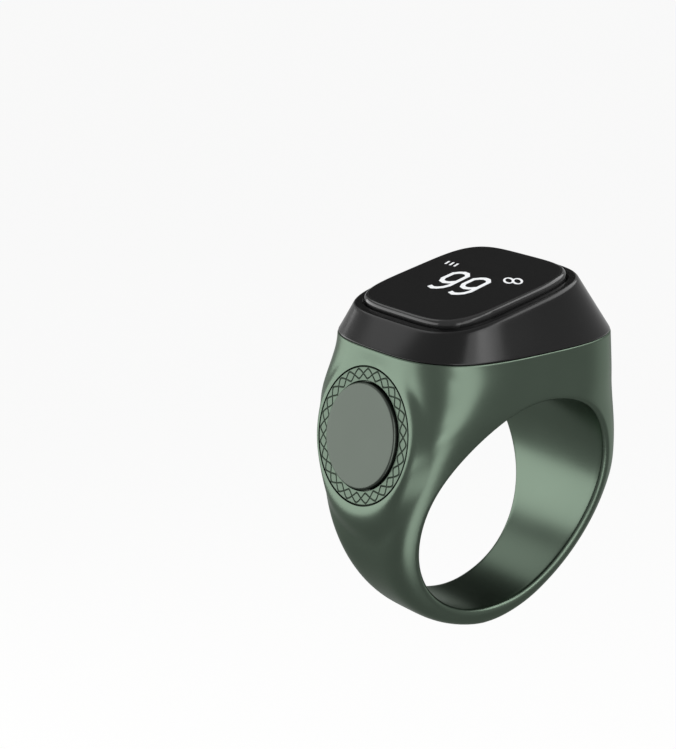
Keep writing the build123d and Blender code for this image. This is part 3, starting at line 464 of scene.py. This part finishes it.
def revolve(profile, count=192):
    # rows of (radius, height over the pad), turned about the pad's axis
    turn = 2 * np.pi * np.arange(count) / count
    radius, height = np.array(profile, float).T
    flat = np.cos(turn)[None, :, None] * padUp + np.sin(turn)[None, :, None] * padAcross
    return padCentre + radius[:, None, None] * flat + height[:, None, None] * padOut


def arcRow(centre, radius, startAngle, endAngle, steps):
    # profile points on a circle between two angles in degrees
    turn = np.radians(np.linspace(startAngle, endAngle, steps))
    return [(centre[0] + radius * np.cos(t), centre[1] + radius * np.sin(t)) for t in turn]


motorPocket = dict(startX=7.85, endX=9.69, radius=2.55, z=10.112, steps=49)
contacts = dict(
    blockLength=6.4, blockHeight=1.8, recess=0.08, depth=2.6, slotGap=0.02, backGap=0.1,
    edge=0.12, edgeRows=6,
    pitch=3.4, radius=0.6, pinLength=0.9, pinCrown=0.07, crownTurn=1.5, crownRows=7, pinTurns=48,
)
contactZ = ring["bore"] + (ring["floor"] + ring["ledge"]) / 2
contactY = float(halfWidth(np.array(contactZ))) - contacts["recess"]


def stadiumRow(grow, y, count=96):
    # two half circles joined by straight runs, in X and Z about the contacts
    turn = 2 * np.pi * (np.arange(count) + 0.5) / count
    half = (contacts["blockLength"] - contacts["blockHeight"]) / 2
    radius = contacts["blockHeight"] / 2 + grow
    x = radius * np.cos(turn) + half * np.sign(np.cos(turn))
    return np.stack([x, np.full(count, y), contactZ + radius * np.sin(turn)], -1)


def motorSlot(top):
    # round-bottomed slot along X, open upwards
    turn = np.radians(np.linspace(180, 360, motorPocket["steps"]))
    radius, z = motorPocket["radius"], motorPocket["z"]
    y = np.concatenate([[-radius], radius * np.cos(turn), [radius]])
    height = np.concatenate([[top], z + radius * np.sin(turn), [top]])
    ends = (motorPocket["startX"], motorPocket["endX"])
    rows = np.stack([np.stack([np.full_like(y, x), y, height], -1) for x in ends])
    return gridMesh("motorSlot", rows, startPole=(ends[0], 0, z), endPole=(ends[1], 0, z))


def makeRingBody():
    # the swept surface is trimmed level at the seam, its upper edge rounded inwards, then hollowed
    mesh = gridMesh("ringBody", ringSurface(), wrapRows=True)
    work = bmesh.new()
    work.from_mesh(mesh)
    bmesh.ops.recalc_face_normals(work, faces=work.faces)
    lift = np.sin(np.radians(np.linspace(0, 90, ring["seamRows"])))
    for share in lift:                   # level cuts for the rounded edge; the last one trims the head
        height = seamZ - ring["seamRound"] * (1 - share)
        everything = list(work.verts) + list(work.edges) + list(work.faces)
        bmesh.ops.bisect_plane(work, geom=everything, plane_co=(0, 0, height * mm), plane_no=(0, 0, 1),
                               clear_outer=bool(share == lift[-1]))
    rimEdges = [edge for edge in work.edges if edge.is_boundary]
    bmesh.ops.contextual_create(work, geom=rimEdges)
    work.to_mesh(mesh)
    work.free()
    place = np.empty(3 * len(mesh.vertices))
    mesh.vertices.foreach_get("co", place)
    place = place.reshape(-1, 3)
    share = np.clip((place[:, 2] / mm - (seamZ - ring["seamRound"])) / ring["seamRound"], 0, 1)
    a, b, n = ring["headLength"] / 2 * mm, seamHalfWidth * mm, ring["headPower"]
    outward = np.sign(place[:, :2]) * np.abs(place[:, :2] / (a, b)) ** (n - 1) / (a, b)
    outward /= np.maximum(np.linalg.norm(outward, axis=1, keepdims=True), tiny)
    place[:, :2] -= outward * (ring["seamRound"] * mm * (1 - np.sqrt(1 - share ** 2)))[:, None]
    mesh.vertices.foreach_set("co", place.ravel())
    tidyMesh(mesh)
    piece = newPiece("ringBody", mesh, "ring", "anodised_green", "anodised_green", "ring_body")
    past = 1.0                           # cutters stand this far out of the body
    top, ledgeZ, floorZ = seamZ + past, ring["bore"] + ring["ledge"], ring["bore"] + ring["floor"]
    outer, inner = headOutline(ring["headWall"]), headOutline(ring["headWall"] + ring["ledgeWidth"])
    tub = np.stack([levelRow(outer, top), levelRow(outer, ledgeZ),
                    levelRow(inner, ledgeZ), levelRow(inner, floorZ)])
    seat, seatLow = pad["seatRadius"], -pad["seatDepth"]
    bore, boreLow = pad["wellRadius"], -pad["wellDepth"]
    pocket, pocketLow = pad["pocketRadius"], -pad["pocketDepth"]
    well = revolve([(seat, past), (seat, seatLow), (bore, seatLow), (bore, boreLow),
                    (pocket, boreLow), (pocket, pocketLow)])
    slotOut, slotIn = contactY + past, contactY - contacts["depth"]
    slot = np.stack([stadiumRow(contacts["slotGap"], y) for y in (slotOut, slotIn)])
    cutAway(piece, gridMesh("tub", tub, startPole=(0, 0, top), endPole=(0, 0, floorZ)),
            gridMesh("well", well, startPole=padCentre + past * padOut,
                     endPole=padCentre + pocketLow * padOut),
            gridMesh("slot", slot, startPole=(0, slotOut, contactZ), endPole=(0, slotIn, contactZ)),
            motorSlot(seamZ + past / 2))
    tidyMesh(piece.data, sharpAngle=32)


makeRingBody()


# Button: ornamented trim ring, the cap inside it and the snap dome under it

trim = dict(
    outer=5.78, inner=4.54, thickness=0.6, rimLine=0.12, rimDepth=0.16, edge=0.05, ease=0.3,
    diamonds=28, pointed=0.94, waveOuter=5.53, waveInner=4.72,
    lineWidth=0.07, lineDepth=0.05, lineInk=0.78, lineEnd=1.5,   # a groove runs out at lineEnd half widths
    turns=1152, rows=44,
)


def makeTrimRing():
    # polar grid; two waves of opposite phase cross into a row of diamonds and are sunk as grooves
    inner, outer, edge, low = trim["inner"], trim["outer"], trim["edge"], -trim["thickness"]
    face, ease = outer - trim["rimLine"], trim["ease"] * edge
    turn = 2 * np.pi * np.arange(trim["turns"])[None, :] / trim["turns"]
    radius = np.linspace(inner + edge, face - edge, trim["rows"])[:, None]
    middle, swing = (trim["waveOuter"] + trim["waveInner"]) / 2, (trim["waveOuter"] - trim["waveInner"]) / 2
    phase = turn * trim["diamonds"] / 2
    wave = swing * (np.arcsin(trim["pointed"] * np.sin(phase)) / np.arcsin(trim["pointed"]))
    slope = swing * 2 / np.pi * trim["diamonds"] / middle
    away = radius - middle
    distance = np.minimum(np.abs(away - wave), np.abs(away + wave)) / np.sqrt(1 + slope ** 2)
    groove = smoothStep(trim["lineEnd"] - distance / (trim["lineWidth"] / 2))
    flat = np.cos(turn)[..., None] * padUp + np.sin(turn)[..., None] * padAcross
    ringRow = lambda r, h: padCentre + r * flat + h * padOut
    top = ringRow(radius[..., None], (-trim["lineDepth"] * groove)[..., None])
    before = [ringRow(inner, low), ringRow(inner, -edge), ringRow(inner + ease, -ease)]
    after = [ringRow(face - ease, -ease), ringRow(face, -edge), ringRow(face, -trim["rimDepth"]),
             ringRow(outer, -trim["rimDepth"]), ringRow(outer, low)]
    mesh = gridMesh("buttonTrimRing", np.concatenate([*before, top, *after]), wrapRows=True)
    bare, inked = np.zeros_like(turn), np.ones_like(turn)
    mask = np.concatenate([bare, bare, bare, trim["lineInk"] * groove, bare, bare, inked, inked, bare])
    layer = mesh.attributes.new("groove", "FLOAT", "POINT")
    layer.data.foreach_set("value", mask.ravel().astype(np.float32))
    tidyMesh(mesh, sharpAngle=40)
    newPiece("buttonTrimRing", mesh, "ring", "anodised_trim", "anodised_trim", "button_trim_ring")


button = dict(
    radius=4.42, proud=0.35, edge=0.2, crown=0.02, stem=0.8, stemBottom=1.66,
    flange=5.0, flangeTop=0.62, flangeBottom=1.22, grooveFloor=4.66, grooveTop=0.71, grooveBottom=1.13,
    pole=0.02, faceRows=14, faceInner=0.03, edgeRows=7,
)


def makeButtonCap():
    # turned profile from the stem's end, past the flange and its seal groove, up to the crowned face
    radius, stem, flange, groove = (button[key] for key in ("radius", "stem", "flange", "grooveFloor"))
    end, flangeLow, flangeHigh = -button["stemBottom"], -button["flangeBottom"], -button["flangeTop"]
    grooveLow, grooveHigh = -button["grooveBottom"], -button["grooveTop"]
    flatRadius, edgeLow = radius - button["edge"], button["proud"] - button["edge"]
    profile = [(button["pole"], end), (stem, end), (stem, flangeLow), (flange, flangeLow),
               (flange, grooveLow), (groove, grooveLow), (groove, grooveHigh), (flange, grooveHigh),
               (flange, flangeHigh), (radius, flangeHigh), (radius, edgeLow)]
    profile += arcRow((flatRadius, edgeLow), button["edge"], 0, 90, button["edgeRows"])[1:-1]
    shares = np.linspace(1, button["faceInner"], button["faceRows"])
    profile += [(flatRadius * k, button["proud"] + button["crown"] * (1 - k * k)) for k in shares]
    mesh = gridMesh("buttonCap", revolve(profile), startPole=padCentre + end * padOut,
                    endPole=padCentre + (button["proud"] + button["crown"]) * padOut)
    tidyMesh(mesh, sharpAngle=40)
    newPiece("buttonCap", mesh, "button", "button", "anodised_green", "button_cap")


dome = dict(
    radius=2.0, height=0.32, sheet=0.08, base=2.0, pressed=0.25,     # pressed: share of its height left
    inner=0.04, rows=20, turns=96,
)


def makeSnapDome():
    # thin sheet between two balls of one centre, standing on its rim; drawn unpressed, though the real one
    # flattens as the button is pressed
    rise = dome["height"] - dome["sheet"]
    ball = (dome["radius"] ** 2 + rise ** 2) / (2 * rise)
    centre = rise - ball - dome["base"]
    radius = dome["radius"] * np.linspace(dome["inner"], 1, dome["rows"])
    skin = lambda grow: np.stack([radius, centre + np.sqrt((ball + grow) ** 2 - radius ** 2)], -1)
    profile = np.concatenate([skin(dome["sheet"]), skin(0)[::-1]])
    mesh = gridMesh("snapDome", revolve(profile, dome["turns"]),
                    startPole=padCentre + (dome["height"] - dome["base"]) * padOut,
                    endPole=padCentre + (rise - dome["base"]) * padOut)
    tidyMesh(mesh, sharpAngle=40)
    piece = newPiece("snapDome", mesh, "ring", "steel", "steel", "switch_dome")
    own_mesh(piece)


makeTrimRing()
makeButtonCap()
makeSnapDome()


# Cover and display glass

cover = dict(
    tilt=11.247, shift=1.261, rise=4.305,            # window centre, towards the button and above the seam
    rimLength=16.04, rimWidth=15.59, rimPower=3.93, shoulder=0.45, seamRound=0.16, plate=1.35, lip=0.06,
    skirtInset=1.33, skirt=0.7, skirtDrop=0.9, gap=0.12,
    windowLength=12.0, windowWidth=10.8, windowPower=14.0,
    count=256, wallRows=14, roundRows=6, footRows=5,
)
glass = dict(
    length=14.49, width=13.7, power=4.26, thickness=1.0, proud=0.6, film=0.1,
    edge=0.36, edgeRows=9, backEdge=0.05, rings=10, ringShares=(0.96, 0.05), count=256,
)
tilt = np.radians(cover["tilt"])
displayCentre = np.array([-cover["shift"], 0, seamZ + cover["rise"]])
displayAlong = np.array([np.cos(tilt), 0, np.sin(tilt)])
displayOut = np.array([-np.sin(tilt), 0, np.cos(tilt)])
acrossY = np.array([0.0, 1.0, 0.0])


def onDisplay(flat, depth):
    # display millimetres (along, across) at a depth under the top of the glass
    return displayCentre + flat[..., :1] * displayAlong + flat[..., 1:] * acrossY - depth * displayOut


def makeTopBezel():
    # rulings from the level seam outline to the tilted rim, a rolled shoulder,
    # the land round the glass and the inside
    count, proud, lip = cover["count"], glass["proud"], cover["lip"]
    grown = lambda by, length, width, power: squaredOval(length + 2 * by, width + 2 * by, power, count)
    rimOval = lambda by: grown(by, cover["rimLength"], cover["rimWidth"], cover["rimPower"])
    seam = levelRow(headOutline(0, count), seamZ)
    rim = onDisplay(rimOval(0), proud)
    along = unit(np.roll(rim, -1, 0) - np.roll(rim, 1, 0))
    inward = unit(np.cross(np.broadcast_to(displayOut, rim.shape), along))
    ruling = seam - rim
    down = unit(ruling - (ruling * along).sum(-1, keepdims=True) * along)
    lean = (inward * down).sum(-1, keepdims=True)
    corner = np.arccos(lean)
    tangent = cover["shoulder"] / np.tan(corner / 2)
    wallOut = unit(-inward + lean * down)
    topOut = unit(-down + lean * inward)
    middle = rim + tangent * down - cover["shoulder"] * wallOut
    sweep = np.pi - corner
    shoulder = []
    for k in np.linspace(0, 1, cover["roundRows"] + 1):
        facing = wallOut * np.sin((1 - k) * sweep) + topOut * np.sin(k * sweep)
        shoulder.append(middle + cover["shoulder"] * facing / np.sin(sweep))
    level = unit(np.cross(np.roll(seam, -1, 0) - np.roll(seam, 1, 0), (0, 0, 1.0)))
    top = shoulder[0]
    foot = []
    for k in np.linspace(0, 1, cover["footRows"]):       # rounded lower edge above the seam
        lift = np.sin(k * np.pi / 2)
        point = seam + (top - seam) * (cover["seamRound"] * lift / (top - seam)[:, 2:])
        foot.append(point - level * cover["seamRound"] * (1 - np.sqrt(1 - (1 - lift) ** 2)))
    walls = [foot[-1] + (top - foot[-1]) * k for k in np.linspace(0, 1, cover["wallRows"])[1:-1]]
    recess = grown(cover["gap"], glass["length"], glass["width"], glass["power"])
    window = squaredOval(cover["windowLength"], cover["windowWidth"], cover["windowPower"], count)
    seat, back = glass["thickness"] + glass["film"], proud + cover["plate"]
    inside = [onDisplay(recess + lip * unit(recess), proud), onDisplay(recess, proud + lip),
              onDisplay(recess, seat), onDisplay(window, seat),
              onDisplay(window, back), onDisplay(rimOval(-cover["shoulder"]), back)]
    outer = headOutline(cover["skirtInset"], count)
    inner = headOutline(cover["skirtInset"] + cover["skirt"], count)
    skirtLow = seamZ - cover["skirtDrop"]
    inside += [levelRow(inner, seamZ), levelRow(inner, skirtLow),
               levelRow(outer, skirtLow), levelRow(outer, seamZ)]
    mesh = gridMesh("topBezel", np.stack([*foot, *walls, *shoulder, *inside]), wrapRows=True)
    tidyMesh(mesh, sharpAngle=40)
    newPiece("topBezel", mesh, "ring", "bezel_black", "bezel_black", "top_bezel")


def makeDisplayLens():
    # stacked ovals: flat back, straight edge, rolled front edge, then rings closing on the flat front
    count, edge, thickness = glass["count"], glass["edge"], glass["thickness"]
    outline = lambda inset: squaredOval(glass["length"] - 2 * inset, glass["width"] - 2 * inset,
                                        glass["power"], count)
    rows = [onDisplay(outline(glass["backEdge"]), thickness),
            onDisplay(outline(0), thickness - glass["backEdge"])]
    for k in np.linspace(0, np.pi / 2, glass["edgeRows"]):
        rows.append(onDisplay(outline(edge * (1 - np.cos(k))), edge * (1 - np.sin(k))))
    edgeStrips = len(rows) - 1
    rows += [onDisplay(outline(edge) * k, 0.0) for k in np.linspace(*glass["ringShares"], glass["rings"])]
    mesh = gridMesh("displayLens", np.stack(rows), startPole=displayCentre - thickness * displayOut,
                    endPole=displayCentre)
    tidyMesh(mesh, sharpAngle=50)
    newPiece("displayLens", mesh, "ring", "lens_black", "lens_black", "display_lens")
    mesh.materials.append(finishes["lens_edge"])
    strips = np.append(np.arange(len(rows) - 1) < edgeStrips, (True, False))     # the poles' fans come last
    mesh.polygons.foreach_set("material_index", np.repeat(strips, count).astype(np.int32))


makeTopBezel()
makeDisplayLens()


# Lit marks on the display: the count, three bars and a loop sign

marks = dict(                            # reading x runs along -Y and reading y along the slope
    lift=0.012, sink=0.02, stroke=0.42, thinStroke=0.19, barStroke=0.20, mitreLimit=0.5,
    digitPlaces=(-1.36, 1.29), barPlaces=(-4.71, -4.12, -3.55), barRise=(1.93, 2.53), barLean=0.08,
    loopCentre=(3.64, 2.24), loopAlong=(0.39, 0.14), loopAcross=(0.42, -0.39), loopSteps=40,
    nine=((0.80, -0.42), (0.35, -0.80), (-0.09, -0.94), (-0.58, -0.80), (-0.87, -0.36), (-0.90, 0.80),
          (-0.55, 1.15), (-0.16, 1.34), (0.33, 1.30), (0.75, 0.94), (0.91, -1.25), (0.72, -1.76),
          (0.35, -2.10), (-0.05, -2.28), (-0.62, -2.12)),
)


def stroke(points, width, closed=False):
    # flat ribbon along a line: each point steps half a width to either side along the mitre of its two runs
    line = np.array(points, float)
    ahead = np.roll(line, -1, 0) - line
    behind = line - np.roll(line, 1, 0)
    if not closed:
        ahead[-1], behind[0] = behind[-1], ahead[0]
    normal = unit(np.stack([-ahead[:, 1], ahead[:, 0]], -1))
    before = unit(np.stack([-behind[:, 1], behind[:, 0]], -1))
    mitre = unit(normal + before)
    mitre /= np.maximum((mitre * normal).sum(-1, keepdims=True), marks["mitreLimit"])
    flat = np.stack([line - mitre * width / 2, line + mitre * width / 2])
    left, right = np.stack([flat[..., 1], -flat[..., 0]], -1)
    sheet = np.stack([onDisplay(left, -marks["lift"]), onDisplay(right, -marks["lift"]),
                      onDisplay(right, marks["sink"]), onDisplay(left, marks["sink"])])
    mesh = gridMesh("mark", sheet, wrapRows=True, wrapCols=closed)
    if not closed:
        work = bmesh.new()
        work.from_mesh(mesh)
        bmesh.ops.holes_fill(work, edges=work.edges, sides=4)
        work.to_mesh(mesh)
        work.free()
    return mesh


def makeDisplayMarks():
    # two digits, leaning bars and round loops, all ribbons joined into one mesh
    nine = np.array(marks["nine"])
    parts = [stroke(nine + (place, 0), marks["stroke"]) for place in marks["digitPlaces"]]
    (low, high), lean = marks["barRise"], marks["barLean"]
    parts += [stroke([(x + lean, low), (x - lean, high)], marks["barStroke"]) for x in marks["barPlaces"]]
    turn = np.linspace(0, 2 * np.pi, marks["loopSteps"], endpoint=False)[:, None]
    along, across = np.array(marks["loopAlong"]), np.array(marks["loopAcross"])
    for side in (-1, 1):                 # two round loops that touch
        loop = np.array(marks["loopCentre"]) + side * along * (1 - np.cos(turn)) + across * np.sin(turn)
        parts.append(stroke(loop, marks["thinStroke"], closed=True))
    mesh = joinMeshes("displayMarks", parts)
    tidyMesh(mesh, sharpAngle=30)
    piece = bpy.data.objects.new("displayMarks", mesh)
    scene.collection.objects.link(piece)
    mesh.materials.append(finishes["lit"])
    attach(piece, "ring")
    print("made displayMarks", len(mesh.polygons), "faces")


makeDisplayMarks()


# Charging contacts on the back of the head

def makeContacts():
    # block: stadium rows with a rounded front edge; pins: a low crowned profile turned about Y
    edge, back = contacts["edge"], contactY - contacts["depth"] + contacts["backGap"]
    rows = [stadiumRow(0, back)]
    for k in np.linspace(0, np.pi / 2, contacts["edgeRows"]):
        rows.append(stadiumRow(-edge * (1 - np.cos(k)), contactY - edge * (1 - np.sin(k))))
    mesh = gridMesh("contactBlock", np.stack(rows), startPole=(0, back, contactZ),
                    endPole=(0, contactY, contactZ))
    tidyMesh(mesh, sharpAngle=40)
    newPiece("contactBlock", mesh, "ring", "socket_plastic", "socket_plastic", "contact_block")
    foot, crown = -contacts["pinLength"], contacts["pinCrown"]
    bend = np.linspace(0, contacts["crownTurn"], contacts["crownRows"])
    radius = contacts["radius"] * np.append(1, np.cos(bend))[:, None]
    height = np.append(foot, crown * np.sin(bend))[:, None]
    turn = 2 * np.pi * np.arange(contacts["pinTurns"]) / contacts["pinTurns"]
    pins = []
    for x in (-contacts["pitch"] / 2, contacts["pitch"] / 2):
        rows = np.stack([x + radius * np.cos(turn), contactY + height + 0 * turn,
                         contactZ + radius * np.sin(turn)], -1)
        pins.append(gridMesh("pin", rows, startPole=(x, contactY + foot, contactZ),
                             endPole=(x, contactY + crown, contactZ)))
    mesh = joinMeshes("chargeContacts", pins)
    tidyMesh(mesh, sharpAngle=40)
    newPiece("chargeContacts", mesh, "ring", "contact_gold", "contact_gold", "charge_contacts")


makeContacts()


# Inner pieces keep their own shapes and take the finish of their slot

shown = 0
slotOf = {part["node"]: part["material_slot"] for part in frame["record"]["subparts"]}
for name, node in frame["nodes"].items():
    if not node.hide_render:
        node.data.materials.clear()
        node.data.materials.append(finishes[slotOf[name]])
        shown += 1
print("inner pieces", shown)


# Floor, light and camera

studio = dict(
    floorHex="f0f0ee", floorDrop=110.0, floorSize=6000.0, floorGlow=0.9,
    floorMirror=(0.42, 0.66), floorFade=(140.0, 400.0),      # mirrored floor, darker in the ring's shade
    worldMirror=0.66, worldLevel=0.5,
    # softboxes: azimuth and elevation seen from the ring, roll, distance, width, height in mm, radiance
    softboxes=(("keyLeft", -138.0, 0.0, 0.0, 230.0, 350.0, 190.0, 2.85),
               ("frontStrip", -17.0, 9.0, 24.0, 100.0, 66.0, 130.0, 2.5),
               ("middleStrip", -35.0, -12.0, 0.0, 105.0, 24.0, 40.0, 1.2),
               ("lowStrip", -18.0, -42.0, 10.0, 105.0, 48.0, 60.0, 2.7),
               ("lensRing", -38.0, 15.0, 0.0, 300.0, 65.0, 65.0, 4.0),
               ("highStrip", 12.0, 37.0, 0.0, 300.0, 130.0, 120.0, 3.8),
               ("rightSide", 88.0, -15.0, 0.0, 260.0, 170.0, 120.0, 0.55),
               ("highBack", -165.0, 46.0, 0.0, 420.0, 240.0, 180.0, 1.2),
               ("highFront", 68.0, 46.0, 0.0, 300.0, 300.0, 170.0, 4.0)),
    # dark card for the hole's lower wall to mirror: azimuth, elevation, distance, width, height, colour
    card=(147.0, 29.0, 420.0, 320.0, 320.0, "565656"),
)
camera = dict(azimuth=-37.29859, elevation=16.58943, distance=163.572, side=11.52007, rise=-9.75216,
              lens=90.674, sensor=36.0, clip=(0.005, 10.0))


def viewAxes(azimuth, elevation):        # azimuth 0 looks along +Y
    a, e = np.radians(azimuth), np.radians(elevation)
    right = np.array([np.cos(a), np.sin(a), 0])
    back = np.array([np.sin(a) * np.cos(e), -np.cos(a) * np.cos(e), np.sin(e)])
    return right, np.cross(back, right), back


def placed(axes, place):                 # matrix of a lamp or camera at a place in mm, looking against back
    right, up, back = axes
    return Matrix([[right[i], up[i], back[i], place[i] * mm] for i in range(3)] + [[0, 0, 0, 1]])


def seenRays(tree, mirrored):
    # 1 for camera, glossy and transmission rays, and their strength:
    # metal and glass show the pale surroundings too
    path = addNode(tree, "LightPath").outputs
    either = addNode(tree, "Math", {0: path["Is Glossy Ray"], 1: path["Is Transmission Ray"]},
                     operation="MAXIMUM")
    seen = addNode(tree, "Math", {0: path["Is Camera Ray"], 1: either.outputs[0]}, operation="MAXIMUM")
    strength = addNode(tree, "MapRange", {0: path["Is Camera Ray"], 3: mirrored, 4: 1.0})
    return seen.outputs[0], strength.outputs[0]


def makeFloor():
    # matt paper sweep: pale, faintly fibrous, and glowing to the camera so that it fades out of sight
    fibreMm = 2
    steps = np.linspace(-studio["floorSize"] / 2, studio["floorSize"] / 2, 5)
    across, along = np.meshgrid(steps, steps)
    level = np.full_like(across, bottomZ - studio["floorDrop"])
    mesh = gridMesh("floor", np.stack([across, along, level], -1), wrapCols=False)
    material, tree = newMaterial("paperSweepMatt")
    place = addNode(tree, "TexCoord").outputs["Object"]
    fibre = addNode(tree, "TexNoise", {"Vector": place, "Scale": 1 / (fibreMm * mm), "Detail": 3.0})
    bump = addNode(tree, "Bump", {"Strength": 0.05, "Distance": 0.02 * mm, "Height": fibre.outputs["Fac"]})
    paper = addNode(tree, "BsdfPrincipled", {
        "Base Color": linearColour(studio["floorHex"]), "Roughness": 0.95,
        "Specular IOR Level": 0.1, "Normal": bump.outputs["Normal"]})
    far = addNode(tree, "VectorMath", {0: place}, operation="LENGTH").outputs["Value"]
    (dim, bright), (near, wide) = studio["floorMirror"], studio["floorFade"]
    shade = addNode(tree, "MapRange", {0: far, 1: near * mm, 2: wide * mm, 3: dim, 4: bright})
    seen, strength = seenRays(tree, shade.outputs[0])
    white = addNode(tree, "Emission", {"Color": (1, 1, 1, 1), "Strength": strength})
    share = addNode(tree, "Math", {0: seen, 1: studio["floorGlow"]}, operation="MULTIPLY")
    mixed = addNode(tree, "MixShader", {0: share.outputs[0], 1: paper.outputs[0], 2: white.outputs[0]})
    addNode(tree, "OutputMaterial", {"Surface": mixed.outputs[0]})
    mesh.materials.append(material)
    floor = bpy.data.objects.new("floor", mesh)
    scene.collection.objects.link(floor)


def makeWorld():
    # white surroundings: full to the camera, weaker in mirrors, and a soft fill for matt surfaces
    world = bpy.data.worlds.new("studioWorld")
    world.use_nodes = True
    tree = world.node_tree
    tree.nodes.clear()
    seen, strength = seenRays(tree, studio["worldMirror"])
    level = addNode(tree, "MapRange", {0: seen, 3: studio["worldLevel"], 4: strength})
    sky = addNode(tree, "Background", {"Color": (1, 1, 1, 1), "Strength": level.outputs[0]})
    addNode(tree, "OutputWorld", {"Surface": sky.outputs["Background"]})
    scene.world = world


def makeCard():
    # flat matt grey sheet facing the ring, seen only in what mirrors it
    azimuth, elevation, distance, width, height, colour = studio["card"]
    right, up, back = viewAxes(azimuth, elevation)
    u, v = np.meshgrid((-width / 2, width / 2), (-height / 2, height / 2))
    points = u[..., None] * right + v[..., None] * up + back * distance
    mesh = gridMesh("card", points, wrapCols=False)
    mesh.materials.append(mouldedFinish("cardboardMatt", colour, 0.9, 1.45, 2.0, 0.02, 0.1))
    card = bpy.data.objects.new("card", mesh)
    card.visible_camera = False
    scene.collection.objects.link(card)


def makeLights():
    # flat lamps facing the ring, each with the power that gives its radiance over its area
    for name, azimuth, elevation, roll, distance, width, height, radiance in studio["softboxes"]:
        light = bpy.data.lights.new(name, "AREA")
        light.shape, light.size, light.size_y = "RECTANGLE", width * mm, height * mm
        light.energy = radiance * np.pi * width * height * mm * mm
        box = bpy.data.objects.new(name, light)
        right, up, back = viewAxes(azimuth, elevation)
        c, s = np.cos(np.radians(roll)), np.sin(np.radians(roll))
        box.matrix_world = placed((right * c - up * s, up * c + right * s, back), back * distance)
        box.visible_camera = False
        scene.collection.objects.link(box)


def makeCamera():
    lens = bpy.data.cameras.new("camera")
    lens.sensor_width, lens.lens = camera["sensor"], camera["lens"]
    lens.clip_start, lens.clip_end = camera["clip"]
    eye = bpy.data.objects.new("camera", lens)
    right, up, back = viewAxes(camera["azimuth"], camera["elevation"])
    stand = back * camera["distance"] - right * camera["side"] - up * camera["rise"]
    eye.matrix_world = placed((right, up, back), stand)
    scene.collection.objects.link(eye)
    scene.camera = eye
    scene.view_settings.view_transform = "Standard"


makeFloor()
makeWorld()
makeCard()
makeLights()
makeCamera()
print("studio ready")

bpy.context.view_layer.update()
